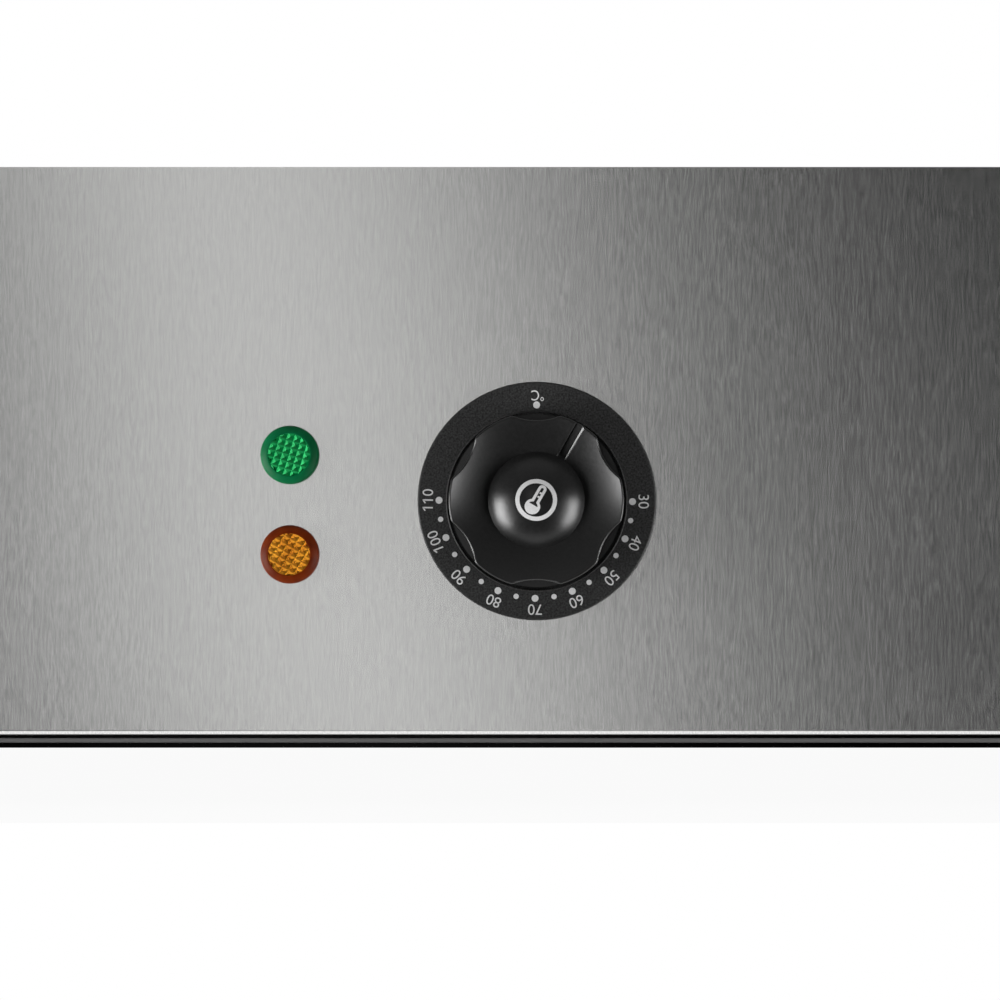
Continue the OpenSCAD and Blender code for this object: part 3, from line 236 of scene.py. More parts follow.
STRIP_X, STRIP_Z, STRIP_AWAY = -0.31, 0.15, 3
SIDE_X, SIDE_Z, SIDE_AWAY = 1.13, -0.35, 0.46
TOP_Z, TOP_AWAY = 1.5, 0.5
knob_spot = (dial_x, panel_y, dial_z)
lamp("strip_lamp", (STRIP_X, panel_y - STRIP_AWAY, STRIP_Z), (STRIP_X, panel_y, STRIP_Z),
     size=(0.5, 2.0), power=3.45, lean=12)
for name, x, watts in (("left_softbox", -SIDE_X, 25), ("right_softbox", SIDE_X, 17)):
    lamp(name, (x, panel_y - SIDE_AWAY, SIDE_Z), knob_spot, size=(0.42, 0.95), power=watts)
lamp("top_softbox", (0, panel_y - TOP_AWAY, TOP_Z), knob_spot, size=(1.6, 0.8), power=0.8)

# %% [markdown]
# The casing is 304 stainless sheet, brushed upright by a belt. The belt leaves short fine
# scratches along Z, which smear a reflection sideways and leave it sharp up and down. A picture of
# brushed sheet could be wrapped round it. A noise in real millimetres is used instead, because it
# has no seams and stays sharp near by. The shader's anisotropy does the smearing, and the noise,
# stretched along Z, draws the scratches. Real ones are about 0.1 mm wide; they are drawn at
# 0.25 mm so that the picture shows them.

# %% Brushed stainless steel
# A colour Mix has its two colours and its result at these sockets, after those for plain numbers.
COLOUR_A, COLOUR_B, COLOUR_OUT = 6, 7, 2
# A noise seldom leaves this range, so spreading it out gives a pattern its full contrast.
NOISE_LOW, NOISE_HIGH = 0.3, 0.7
SCRATCH_LIFT, SCRATCH_SPREAD = 0.002 * MM, 0.02


def brushed_steel(name, dark, light, rough, grain_mm, tangent_axis, smear):
    """Steel sheet with scratches of a given size along X, Y and Z."""
    steel, tree, shader = start_material(name, Metallic=1.0, Anisotropic=smear)
    place = add(tree, "ShaderNodeTexCoord")
    stretch = add(tree, "ShaderNodeMapping", {"Scale": per_metre(*grain_mm)},
                  {"Vector": place.outputs["Object"]})
    scratches = add(tree, "ShaderNodeTexNoise", {"Scale": 1.0, "Detail": 4.0, "Roughness": 0.6},
                    {"Vector": stretch.outputs[0]})
    contrast = add(tree, "ShaderNodeMapRange", {"From Min": NOISE_LOW, "From Max": NOISE_HIGH},
                   {"Value": scratches.outputs[0]})
    tone = add(tree, "ShaderNodeMix", {COLOUR_A: linear(dark), COLOUR_B: linear(light)},
               {0: contrast.outputs[0]}, data_type="RGBA")
    matt = add(tree, "ShaderNodeMapRange",
               {"To Min": rough - SCRATCH_SPREAD, "To Max": rough + SCRATCH_SPREAD},
               {"Value": contrast.outputs[0]})
    relief = add(tree, "ShaderNodeBump", {"Strength": 0.1, "Distance": SCRATCH_LIFT},
                 {"Height": scratches.outputs[0]})
    along = add(tree, "ShaderNodeTangent", direction_type="RADIAL", axis=tangent_axis)
    tree.links.new(tone.outputs[COLOUR_OUT], shader.inputs["Base Color"])
    tree.links.new(matt.outputs[0], shader.inputs["Roughness"])
    tree.links.new(relief.outputs[0], shader.inputs["Normal"])
    tree.links.new(along.outputs[0], shader.inputs["Tangent"])
    return steel


casing_steel = brushed_steel("stainless_304_belt_brushed_upright", "#d9d9d8", "#fbfbf9", 0.2,
                             (0.25, 0.25, 3), "Z", 0.8)
deck_steel = brushed_steel("stainless_304_belt_brushed_lengthwise", "#b8b8b6", "#d0d0ce", 0.27,
                           (9, 0.4, 0.4), "X", 0.7)
pan_steel = brushed_steel("stainless_304_deep_drawn", "#bcbcba", "#d2d2d0", 0.24,
                          (2.0, 2.0, 6), "Z", 0.3)
lid_steel = brushed_steel("stainless_304_pressed_satin", "#bababa", "#d2d2d1", 0.25,
                          (7, 0.5, 0.5), "X", 0.6)
tank_steel = brushed_steel("stainless_304_pickled", "#a3a3a0", "#bdbdb9", 0.38,
                           (3, 3, 3), "Z", 0.0)
print("steel finishes:", [m.name for m in bpy.data.materials if m.name.startswith("stainless")])

# %% [markdown]
# Turned and plated metal: pins, bars and screws come off a lathe, and the tap's brass is polished
# and then chromed. Zinc plating is duller and slightly mottled. True tool rings would need an axis
# for every piece. A fine noise gives the same small shifts of tone and shine on all of them.


# %% Turned and plated metal
def machined_metal(name, dark, light, rough, mark_mm, spread=0.04):
    """Metal with fine tool marks of a given size."""
    metal, tree, shader = start_material(name, Metallic=1.0)
    place = add(tree, "ShaderNodeTexCoord")
    marks = add(tree, "ShaderNodeTexNoise", {"Scale": per_metre(mark_mm)[0], "Detail": 3.0},
                {"Vector": place.outputs["Object"]})
    tone = add(tree, "ShaderNodeMix", {COLOUR_A: linear(dark), COLOUR_B: linear(light)},
               {0: marks.outputs[0]}, data_type="RGBA")
    matt = add(tree, "ShaderNodeMapRange", {"To Min": rough - spread, "To Max": rough + spread},
               {"Value": marks.outputs[0]})
    tree.links.new(tone.outputs[COLOUR_OUT], shader.inputs["Base Color"])
    tree.links.new(matt.outputs[0], shader.inputs["Roughness"])
    return metal


turned_steel = machined_metal("stainless_303_turned", "#b9b9b8", "#d4d4d2", 0.2, 0.8)
chrome = machined_metal("brass_polished_chromed", "#cfd0d2", "#e2e3e5", 0.09, 2.5, 0.03)
zinc = machined_metal("steel_zinc_plated", "#9ea2a6", "#c3c5c4", 0.33, 1.5, 0.08)
brass = machined_metal("brass_machined", "#b08a45", "#cda963", 0.28, 1.2, 0.06)
copper = machined_metal("copper_tube_drawn", "#a8633f", "#c98a63", 0.32, 1.5, 0.06)
sheath = machined_metal("nickel_alloy_heat_darkened", "#35363a", "#55565a", 0.5, 3.0, 0.1)
print("materials so far:", len(bpy.data.materials))

# %% [markdown]
# Moulded parts take their surface from the tool. A spark-eroded tool gives the dial a fine sparkle,
# a polished one gives the knob a satin black, and rubber comes out dull. The grain is a small noise
# that shifts the colour and the roughness and lifts the surface. The dial's real grain is finer;
# it is drawn at 0.45 mm so that the picture shows it.


# %% Moulded plastics and rubber
def moulded(name, dark, light, rough, grain_mm, lift_mm, spread=0.06, **values):
    """A moulding with a grain of a given size and height."""
    stuff, tree, shader = start_material(name, **values)
    place = add(tree, "ShaderNodeTexCoord")
    grain = add(tree, "ShaderNodeTexNoise",
                {"Scale": per_metre(grain_mm)[0], "Detail": 3.0, "Roughness": 0.6},
                {"Vector": place.outputs["Object"]})
    contrast = add(tree, "ShaderNodeMapRange", {"From Min": NOISE_LOW, "From Max": NOISE_HIGH},
                   {"Value": grain.outputs[0]})
    tone = add(tree, "ShaderNodeMix", {COLOUR_A: linear(dark), COLOUR_B: linear(light)},
               {0: contrast.outputs[0]}, data_type="RGBA")
    matt = add(tree, "ShaderNodeMapRange", {"To Min": rough - spread, "To Max": rough + spread},
               {"Value": grain.outputs[0]})
    relief = add(tree, "ShaderNodeBump", {"Strength": 0.5, "Distance": lift_mm * MM},
                 {"Height": grain.outputs[0]})
    tree.links.new(tone.outputs[COLOUR_OUT], shader.inputs["Base Color"])
    tree.links.new(matt.outputs[0], shader.inputs["Roughness"])
    tree.links.new(relief.outputs[0], shader.inputs["Normal"])
    return stuff


knob_black = moulded("phenolic_moulded_satin_black", "#161616", "#1e1e1e", 0.31, 0.6, 0.002)
dial_black = moulded("phenolic_spark_textured_black", "#0c0c0c", "#404040", 0.5, 0.45, 0.03, 0.12,
                     Specular_IOR_Level=0.3)
nylon_black = moulded("nylon_moulded_black", "#161617", "#232324", 0.45, 0.5, 0.02)
vinyl_red = moulded("vinyl_dipped_red", "#a11216", "#bb1a1c", 0.35, 1.5, 0.03, Coat_Weight=0.2)
nylon_white = moulded("nylon_moulded_white", "#d9d8d2", "#e8e7e1", 0.45, 0.6, 0.02)
melamine_tan = moulded("melamine_moulded_tan", "#9a7c52", "#b3946a", 0.5, 0.7, 0.02)
rubber = moulded("rubber_moulded_black", "#1a1a1a", "#272727", 0.7, 0.5, 0.04)
silicone = moulded("silicone_moulded_grey", "#6e6f70", "#838485", 0.55, 0.6, 0.02)
sleeve_red = moulded("silicone_sleeve_red", "#8e1f1a", "#aa2c24", 0.5, 0.8, 0.02)
board = moulded("mineral_board_pressed", "#c3b891", "#ddd3b0", 0.9, 2.0, 0.2)
print("materials so far:", len(bpy.data.materials))

# %% [markdown]
# The base is enamelled black, with a rounded bead along its upper edge. The grey line on the bead is a
# painted highlight, standing in for the light that the bead catches. It could be a strip of its own,
# but here it is only a change of colour: the enamel's colour asks for the height, and within the bead's
# half width of the bead's middle it turns grey.

# %% Enamelled base
BEAD_Z, BEAD_HALF = 15.83 * MM, 0.56 * MM
base_black = moulded("steel_enamelled_black", "#020202", "#060606", 0.22, 1.2, 0.01,
                     Specular_IOR_Level=0.06)
base_tree = base_black.node_tree
base_colour = base_tree.nodes["Principled BSDF"].inputs["Base Color"]
enamel = base_colour.links[0].from_socket
base_place = add(base_tree, "ShaderNodeTexCoord")
base_axes = add(base_tree, "ShaderNodeSeparateXYZ", links={0: base_place.outputs["Object"]})
# Painted highlight: the enamel turns grey along the bead's middle, in place of the light the bead
# catches.
on_bead = add(base_tree, "ShaderNodeMath", {1: BEAD_Z, 2: BEAD_HALF}, {0: base_axes.outputs["Z"]},
              operation="COMPARE")
two_tone = add(base_tree, "ShaderNodeMix", {COLOUR_B: linear("#8c8c8c")},
               {0: on_bead.outputs[0], COLOUR_A: enamel}, data_type="RGBA")
base_tree.links.new(two_tone.outputs[COLOUR_OUT], base_colour)
print("base nodes:", len(base_tree.nodes))

# %% [markdown]
# The lamp lenses are clear polycarbonate, dyed green and amber. A true tinted glass needs many
# light bounces, so the colour here sits in the surface, with a slight cloud in it. The faceted disc
# in the middle throws back more light than the plain ring round it, as a metal does, so it is made
# part metallic. The bulbs behind are plain glass, and the print is a thin matt ink.

# %% Lens plastics, lamp glass and inks
CLOUD_MM = 3


def lens_plastic(name, dark, light, rough, metallic, shine):
    """Dyed clear plastic that throws light back from inside."""
    stuff, tree, shader = start_material(name, Metallic=metallic, Roughness=rough, IOR=1.58,
                                         Specular_IOR_Level=shine)
    place = add(tree, "ShaderNodeTexCoord")
    cloud = add(tree, "ShaderNodeTexNoise", {"Scale": per_metre(CLOUD_MM)[0], "Detail": 2.0},
                {"Vector": place.outputs["Object"]})
    tone = add(tree, "ShaderNodeMix", {COLOUR_A: linear(dark), COLOUR_B: linear(light)},
               {0: cloud.outputs[0]}, data_type="RGBA")
    tree.links.new(tone.outputs[COLOUR_OUT], shader.inputs["Base Color"])
    return stuff


green_ring = lens_plastic("polycarbonate_clear_green", "#00542e", "#007444", 0.45, 0.0, 0.1)
green_prisms = lens_plastic("polycarbonate_faceted_green", "#00783a", "#00a456", 0.16, 0.55, 0.3)
amber_ring = lens_plastic("polycarbonate_clear_amber", "#4a0e00", "#8a3400", 0.45, 0.0, 0.1)
amber_prisms = lens_plastic("polycarbonate_faceted_amber", "#aa4a00", "#ffb634", 0.15, 0.75, 0.3)
bulb_glass, _, _ = start_material("soda_glass_clear", Base_Color=linear("#f2d9c4"), Roughness=0.03,
                                  IOR=1.5, Transmission_Weight=0.9)
ink = moulded("screen_print_light_grey", "#d8d8d8", "#e6e6e6", 0.6, 0.3, 0.004)
sign_ink = moulded("pad_print_white", "#cccccc", "#d8d8d8", 0.6, 0.3, 0.004)
print("materials in all:", len(bpy.data.materials))

# %% [markdown]
# Each solid now gets its finish. The list reads as a parts list: the finish first, then the nodes
# that have it.

# %% Finishes on the solids
finishes = {
    casing_steel: ["front_panel", "outer_casing"],
    deck_steel: ["top_deck", "divider_bar"],
    lid_steel: ["lid_left", "lid_right", "leaves_left", "leaves_right",
                "brackets_left", "brackets_right"],
    pan_steel: ["pan_left", "pan_right"],
    tank_steel: ["water_tank", "guard_tray", "element_saddles", "bulb_clip"],
    turned_steel: ["hinge_pins", "spindle", "drain_pipe", "valve_ball", "valve_stem", "lever",
                   "lever_nut", "thermostat_bulb", "handle_bar_left", "handle_bar_right"],
    chrome: ["valve_body", "spout", "tap_rose", "packing_nut"],
    zinc: ["casing_screws", "rivets_left", "rivets_right", "thermostat_plate",
           "thermostat_screws", "lamp_clips"],
    brass: ["tank_glands", "lock_nuts", "terminal_screws", "spade_tabs"],
    copper: ["capillary"],
    sheath: ["heating_element"],
    knob_black: ["knob"],
    dial_black: ["dial_ring"],
    base_black: ["base_moulding"],
    nylon_black: ["cord_gland"],
    vinyl_red: ["lever_grip"],
    nylon_white: ["lamp_barrels", "terminal_block", "safety_cutout"],
    melamine_tan: ["thermostat"],
    rubber: ["feet"],
    silicone: ["buffers_left", "buffers_right", "element_seals"],
    sleeve_red: ["wiring"],
    board: ["insulation_board"],
    green_ring: ["lens_green"],
    amber_ring: ["lens_amber"],
    bulb_glass: ["lamp_bulbs"],
}
for finish, names in finishes.items():
    for name in names:
        nodes[name].data.materials.clear()
        nodes[name].data.materials.append(finish)
dressed = [name for names in finishes.values() for name in names]
print("dressed:", len(dressed), "left over:", sorted(set(nodes) - set(dressed)))

# %% [markdown]
# New pieces are modelled lying flat at the origin, with Z towards the viewer, which is the easy way
# to draw something that faces the camera. Standing one up on the panel is then one turn of 90
# degrees about X, and a turn about Y sets it round the dial, clockwise as the viewer sees it.


# %% Helpers for new pieces
def start_piece():
    """Nothing selected, so that the next operator only touches what it makes."""
    if bpy.context.object and bpy.context.object.mode != "OBJECT":
        bpy.ops.object.mode_set(mode="OBJECT")
    bpy.ops.object.select_all(action="DESELECT")


def edit(select="SELECT"):
    """Edit mode on the active piece, with all of it selected, or none."""
    bpy.ops.object.mode_set(mode="EDIT")
    bpy.ops.mesh.select_all(action=select)


def extrude(x, y, z):
    """Extrudes the selected faces by a move."""
    bpy.ops.mesh.extrude_region_move(TRANSFORM_OT_translate={"value": (x, y, z)})


def face_outwards():
    """Points every face of the piece in edit mode outwards and leaves edit mode."""
    bpy.ops.mesh.select_all(action="SELECT")
    bpy.ops.mesh.normals_make_consistent(inside=False)
    bpy.ops.object.mode_set(mode="OBJECT")


def stand_up(x, y, z, clockwise=0.0):
    """Turns the active flat piece to face the viewer and sets it at a place on the panel."""
    piece = bpy.context.object
    piece.rotation_euler = (math.radians(90), math.radians(clockwise), 0)
    piece.location = (x, y, z)
    return settle()


def join(pieces, name):
    """One piece from several, with a name."""
    start_piece()
    for piece in pieces:
        piece.select_set(True)
    bpy.context.view_layer.objects.active = pieces[0]
    if len(pieces) > 1:
        bpy.ops.object.join()
    whole = bpy.context.object
    whole.name = whole.data.name = name
    return whole


def hand_over(piece, body, material):
    """The piece rides on its body and gets its finish."""
    piece.data.materials.clear()
    piece.data.materials.append(material)
    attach(piece, body)
    print(piece.name, "faces:", len(piece.data.polygons))


start_piece()
print("selected before modelling:", len(bpy.context.selected_objects))

# %% [markdown]
# The dial is screen printed: a number every ten degrees from 30 to 110, and the sign for degrees.
# The numbers run clockwise with their tops outwards. An image on the dial could show the same, but
# a mesh stays sharp near by and is part of the model. Each number is a text object made into a mesh,
# scaled to its printed height, and laid 0.02 mm proud of the dial. The 1 of the built-in font is a
# plain bar, so a small slanted stroke is added to it. The print sits a little off the dial's middle.

# %% Printed numbers
PRINT_T, PRINT_LEFT, PRINT_DOWN = 0.02 * MM, 0.25 * MM, 0.15 * MM
NUMBER_R, NUMBER_H = 26.9 * MM, 2.65 * MM
FIRST_TURN, STEP_TURN = 90, 22.6
# A letter is about a metre high at first, so its thickness is drawn large and then shrunk by this.
INK_SCALE = 0.004
# The stroke on a 1, in the letter's own units: its place, its size, and the way to the next letter.
FLAG_X, FLAG_Y, FLAG_LONG, FLAG_WIDE, FLAG_TURN, LETTER_STEP = 0.145, 0.575, 0.25, 0.085, 38, 0.5
temperatures = range(30, 120, 10)
print_x, print_z = dial_x - PRINT_LEFT, dial_z - PRINT_DOWN


def on_dial(y, radius, clockwise, turn=0.0):
    """Stands the active flat piece up on the dial, at a radius and an angle from the top."""
    around = math.radians(clockwise)
    return stand_up(print_x + radius * math.sin(around), y, print_z + radius * math.cos(around), turn)


def printed_word(word, height, radius, clockwise, turn, narrow=1.0):
    """A word on the dial, its middle at a radius and angle, turned clockwise."""
    start_piece()
    bpy.ops.object.text_add(location=(0, 0, 0))
    letters = bpy.context.object
    letters.data.body = word
    letters.data.extrude = PRINT_T / 2 / INK_SCALE
    bpy.ops.object.convert(target="MESH")
    strokes = [bpy.context.object]
    for i in range(len(word) - len(word.lstrip("1"))):
        start_piece()
        bpy.ops.mesh.primitive_cube_add(size=1, location=(FLAG_X + LETTER_STEP * i, FLAG_Y, 0))
        flag = bpy.context.object
        flag.scale = (FLAG_LONG, FLAG_WIDE, PRINT_T / INK_SCALE)
        flag.rotation_euler = (0, 0, math.radians(FLAG_TURN))
        strokes.append(settle())
    printed = join(strokes, "number")
    bpy.ops.object.origin_set(type="ORIGIN_GEOMETRY", center="BOUNDS")
    k = height / printed.dimensions.y
    printed.scale = (k * narrow, k, INK_SCALE)
    return on_dial(dial_face - PRINT_T / 2, radius, clockwise, turn)


numbers = []
for i, degrees in enumerate(temperatures):
    at = FIRST_TURN + STEP_TURN * i
    numbers.append(printed_word(str(degrees), NUMBER_H, NUMBER_R, at, at))
numbers.append(printed_word("°C", height=2.7 * MM, radius=26.4 * MM, clockwise=1.0, turn=180,
                            narrow=0.85))
print("printed words:", len(numbers))

# %% [markdown]
# Dots stand inside the numbers: a large one at each number, a small one between two numbers, and
# a large one at the top for off. A dot is a filled circle, extruded to the thickness of the ink. It
# is printed with the same screen as the numbers, so all of them are joined into one piece.

# %% Printed dots
DOT_R, LARGE_DOT, SMALL_DOT, DOT_SIDES = 24.1 * MM, 0.87 * MM, 0.67 * MM, 28
OFF_TURN = 0.5


def printed_dot(radius, clockwise):
    """A dot of a given radius on the dial."""
    start_piece()
    bpy.ops.mesh.primitive_circle_add(vertices=DOT_SIDES, radius=radius, fill_type="NGON")
    edit()
    extrude(0, 0, PRINT_T)
    face_outwards()
    return on_dial(dial_face, DOT_R, clockwise)


dots = [printed_dot(LARGE_DOT, OFF_TURN)]
for i in range(2 * len(temperatures) - 1):
    dots.append(printed_dot(SMALL_DOT if i % 2 else LARGE_DOT, FIRST_TURN + STEP_TURN / 2 * i))
dial_print = join(numbers + dots, "dial_print")
hand_over(dial_print, "base", ink)

# %% [markdown]
# Round mouldings are made as on a lathe. An outline could be spun, but that leaves a seam and two
# poles to close. So a filled circle is extruded and scaled along the outline, ring by ring, and is
# closed from the start. Cuts are made with a boolean, which is applied at once, so that the
# finished piece is a plain mesh.


# %% Turning and cutting
def pick(piece):
    """Makes one piece the active and only selected one."""
    start_piece()
    piece.select_set(True)
    bpy.context.view_layer.objects.active = piece


def turned(name, outline_mm, sides):
    """A round body: a circle extruded and scaled along (radius, height) pairs."""
    start_piece()
    radius, height = outline_mm[0]
    bpy.ops.mesh.primitive_circle_add(vertices=sides, radius=radius * MM, fill_type="NGON",
                                      location=(0, 0, height * MM))
    body = settle()
    body.name = body.data.name = name
    edit()
    for next_radius, next_height in outline_mm[1:]:
        k = next_radius / radius
        extrude(0, 0, (next_height - height) * MM)
        bpy.ops.transform.resize(value=(k, k, 1))
        radius, height = next_radius, next_height
    face_outwards()
    return body


def cut(piece, cutter, operation="DIFFERENCE"):
    """Applies a boolean and removes the cutter."""
    pick(piece)
    step = piece.modifiers.new("cut", "BOOLEAN")
    step.operation = operation
    step.object = cutter
    bpy.ops.object.modifier_apply(modifier="cut")
    bpy.data.objects.remove(cutter)


def arc(centre, radius, first, last, steps):
    """Points of an outline's round stretch, from one angle to another."""
    angles = [math.radians(first + (last - first) * i / steps) for i in range(steps + 1)]
    return [(centre[0] + radius * math.cos(a), centre[1] + radius * math.sin(a)) for a in angles]


print("a quarter round:", [(round(r, 2), round(z, 2)) for r, z in arc((0, 0), 1, 0, 90, 2)])

# %% [markdown]
# The dial ring is a flat moulding with a rounded outer edge and a narrow lip round the hollow in
# which the knob turns. The lip is only 0.3 mm high, but it draws the fine bright line round the
# knob, so it is modelled and not left to a bump map.

# %% Dial ring
DIAL_R, DIAL_EDGE = dial_r / MM, 0.5
HOLLOW_R, HOLLOW_Z, HOLLOW_MIDDLE = 22.2, 1.2, 5
LIP_R, LIP_FOOT = 0.15, 0.45
dial_outline = [(DIAL_R, 0)] + arc((DIAL_R - DIAL_EDGE, DIAL_H - DIAL_EDGE), DIAL_EDGE, 0, 90, 5)
dial_outline += [(HOLLOW_R + LIP_FOOT, DIAL_H)]
dial_outline += arc((HOLLOW_R + LIP_R, DIAL_H + LIP_R), LIP_R, 0, 180, 6)
dial_outline += [(HOLLOW_R, HOLLOW_Z), (HOLLOW_MIDDLE, HOLLOW_Z)]
dial = turned("dial_moulding", dial_outline, sides=160)
bpy.ops.object.shade_smooth_by_angle(angle=math.radians(40))
stand_up(dial_x, panel_y, dial_z)
hand_over(dial, "base", dial_black)
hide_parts("dial_ring")

# %% [markdown]
# The knob is a phenolic moulding: a round body with a dish, a domed crown and six finger scallops
# that stop above a low skirt. Six cylinders could be cut away, but the small radius on the rim would
# go with them. So it is turned first, as if it had no scallops. Then each ring above the skirt is
# drawn in to the scalloped line, and its height is read again from the dish. The dish stays one
# smooth surface, and the small radius on its edge runs round every scallop.

# %% Outline of the knob
KNOB_R, KNOB_TOP, KNOB_H, SKIRT_Z = 21.4, 18.4, 19.5, 1.8
CROWN_R, DISH_DEEP, DISH_BOW, EDGE_R = 11.85, 4.0, 0.35, 0.5
SHELF_Z, SHELF_STEP, WAIST_Z = 7.0, 0.05, 12
EDGE_STEPS, DISH_STEPS, DOME_STEPS = 5, 16, 16
DISH_R = KNOB_R - EDGE_R


def dish_z(radius):
    """Height of the dish at a radius: nearly a cone, a little hollow."""
    share = (DISH_R - radius) / (DISH_R - CROWN_R)
    return KNOB_TOP - DISH_DEEP * (1 + DISH_BOW - DISH_BOW * share) * share


knob_outline = [(KNOB_R, SKIRT_Z), (KNOB_R, SHELF_Z), (KNOB_R, SHELF_Z + SHELF_STEP), (KNOB_R, WAIST_Z)]
knob_outline += arc((DISH_R, KNOB_TOP - EDGE_R), EDGE_R, 0, 90, EDGE_STEPS)
dish_radii = [DISH_R + (CROWN_R - DISH_R) * i / DISH_STEPS for i in range(1, DISH_STEPS + 1)]
knob_outline += [(radius, dish_z(radius)) for radius in dish_radii]
dome_h = KNOB_H - KNOB_TOP + DISH_DEEP
dome_r = (CROWN_R ** 2 + dome_h ** 2) / (2 * dome_h)
dome_angles = [math.asin(CROWN_R / dome_r) * (1 - i / DOME_STEPS) for i in range(1, DOME_STEPS)]
knob_outline += [(dome_r * math.sin(a), KNOB_H - dome_r * (1 - math.cos(a))) for a in dome_angles]
knob = turned("knob_moulding", knob_outline, sides=240)
print("knob rings:", len(knob_outline), "faces:", len(knob.data.polygons))

# %% [markdown]
# The scallops are hollows of one radius, evenly spaced. For each direction from the axis, the side's
# distance is where the ray meets the scallop's circle, or else the knob's own radius. Rings on the
# side and on its rounded edge move inwards as they are. Rings on the dish are squeezed between the
# new edge and the crown.

# %% Scallops of the knob
SCALLOPS, SCALLOP_R, SCALLOP_DEEP = 6, 16.0, 1.9
SLACK = 0.001


def side_r(x, y):
    """Distance of the knob's side from the axis, with the scallops."""
    spread = 2 * math.pi / SCALLOPS
    off = (math.atan2(x, y) + spread / 2) % spread - spread / 2
    reach = KNOB_R - SCALLOP_DEEP + SCALLOP_R
    under = SCALLOP_R ** 2 - (reach * math.sin(off)) ** 2
    return KNOB_R if under <= 0 else min(KNOB_R, reach * math.cos(off) - math.sqrt(under))


moved = 0
for corner in knob.data.vertices:
    x, y, z = (v / MM for v in corner.co)
    radius, side = math.hypot(x, y), side_r(x, y)
    if z < SHELF_Z + SLACK or radius < CROWN_R + SLACK or side >= KNOB_R:
        continue
    dish_edge = side - EDGE_R
    if radius > DISH_R + SLACK:
        new_radius = radius - KNOB_R + side
        new_z = z if z < WAIST_Z + SLACK else z - KNOB_TOP + dish_z(dish_edge)
    else:
        new_radius = dish_edge + (radius - DISH_R) * (dish_edge - CROWN_R) / (DISH_R - CROWN_R)
        new_z = dish_z(new_radius)
    corner.co = (x * new_radius / radius * MM, y * new_radius / radius * MM, new_z * MM)
    moved += 1
print("corners drawn in:", moved)

# %% [markdown]
# The pointer is a straight groove from the crown to the rim, at thirty degrees past the top. A slice
# of its section, with flared upper edges, is extruded step by step along the dish and cut away. The
# flare leaves a narrow chamfer on both edges, which catches the light.

# %% Pointer of the knob
POINTER_TURN = math.radians(30)
GROOVE_W, GROOVE_DEEP, FLARE_DEEP, FLARE_WIDER, GROOVE_CLEAR = 1.9, 0.7, 0.35, 1.64, 3
SLICE_T, GROOVE_START, GROOVE_STEP, GROOVE_STOPS = 0.1, CROWN_R + 0.2, 0.86, 13
FACING = 0.9


def choose(piece, rule):
    """Selects the faces of a piece that follow a rule, in edit mode."""
    pick(piece)
    edit("DESELECT")
    bpy.ops.mesh.select_mode(type="FACE")
    bpy.ops.object.mode_set(mode="OBJECT")
    for face in piece.data.polygons:
        face.select = rule(face)
    bpy.ops.object.mode_set(mode="EDIT")


start_piece()
bpy.ops.mesh.primitive_cube_add(size=1)
bpy.context.object.scale = (GROOVE_W * MM, SLICE_T * MM, GROOVE_DEEP * MM)
groove = settle()
choose(groove, lambda face: face.normal.z > FACING)
extrude(0, 0, FLARE_DEEP * MM)
bpy.ops.transform.resize(value=(FLARE_WIDER, 1, 1))
extrude(0, 0, GROOVE_CLEAR * MM)
bpy.ops.object.mode_set(mode="OBJECT")
choose(groove, lambda face: face.normal.y > FACING)
stops = [GROOVE_START + GROOVE_STEP * i for i in range(GROOVE_STOPS)]
for here, there in zip(stops, stops[1:]):
    extrude(0, (there - here) * MM, (dish_z(there) - dish_z(here)) * MM)
face_outwards()
groove.rotation_euler = (0, 0, -POINTER_TURN)
groove.location = (stops[0] * math.sin(POINTER_TURN) * MM, stops[0] * math.cos(POINTER_TURN) * MM,
                   (dish_z(stops[0]) - (GROOVE_DEEP + FLARE_DEEP) / 2) * MM)
settle()
cut(knob, groove)
print("knob faces with the groove:", len(knob.data.polygons))

# %% [markdown]
# A moulding has even walls, so the knob is hollow underneath. The flat face below is inset by the
# wall and extruded upwards, which is how the tool's core would shape it.

# %% Underside of the knob
KNOB_WALL, KNOB_HOLLOW = 2.2, 11.4
choose(knob, lambda face: face.normal.z < -FACING and face.center.z < (SKIRT_Z + SLACK) * MM)
bpy.ops.mesh.inset(thickness=KNOB_WALL * MM)
extrude(0, 0, KNOB_HOLLOW * MM)
bpy.ops.object.mode_set(mode="OBJECT")
bpy.ops.object.shade_smooth_by_angle(angle=math.radians(32))
print("knob faces:", len(knob.data.polygons))

# %% [markdown]
# A thermometer in a ring is printed on the crown. It could be an image, but as with the numbers a
# mesh stays sharp. It is drawn flat over the knob from filled circles and rounded bars: the ring and
# the white thermometer, the empty part of its bulb and tube, and two ticks.

# %% Flat thermometer sign
SIGN_Z = 25 * MM
SIGN_R, SIGN_STROKE = 5.1, 1.02
BULB_Y, BULB_R, BULB_GAP_R, LEVEL_Y = -1.87, 1.9, 1.24, -1.39
TUBE_LOW, TUBE_TOP, TUBE_HALF, TUBE_GAP_HALF = -1.0, 2.97, 1.03, 0.33
TICK_X, TICK_LONG, TICK_WIDE, TICK_HEIGHTS = 0.12, 0.5, 0.46, (0.9, 1.96)


def disc(radius, y=0, sides=48):
    """A filled circle over the knob."""
    start_piece()
    bpy.ops.mesh.primitive_circle_add(vertices=sides, radius=radius * MM, fill_type="NGON",
                                      location=(0, y * MM, SIGN_Z))
    return settle()


def hollow(piece, stroke):
    """Leaves only an outline of a flat piece."""
    pick(piece)
    edit()
    bpy.ops.mesh.inset(thickness=stroke * MM)
    bpy.ops.mesh.delete(type="FACE")
    bpy.ops.object.mode_set(mode="OBJECT")
    return piece


def rounded_bar(half):
    """A flat bar along the thermometer's tube, with rounded ends."""
    bar = disc(half, TUBE_TOP)
    for corner in bar.data.vertices:
        if corner.co.y < (TUBE_TOP - SLACK) * MM:
            corner.co.y -= (TUBE_TOP - TUBE_LOW) * MM
    return bar


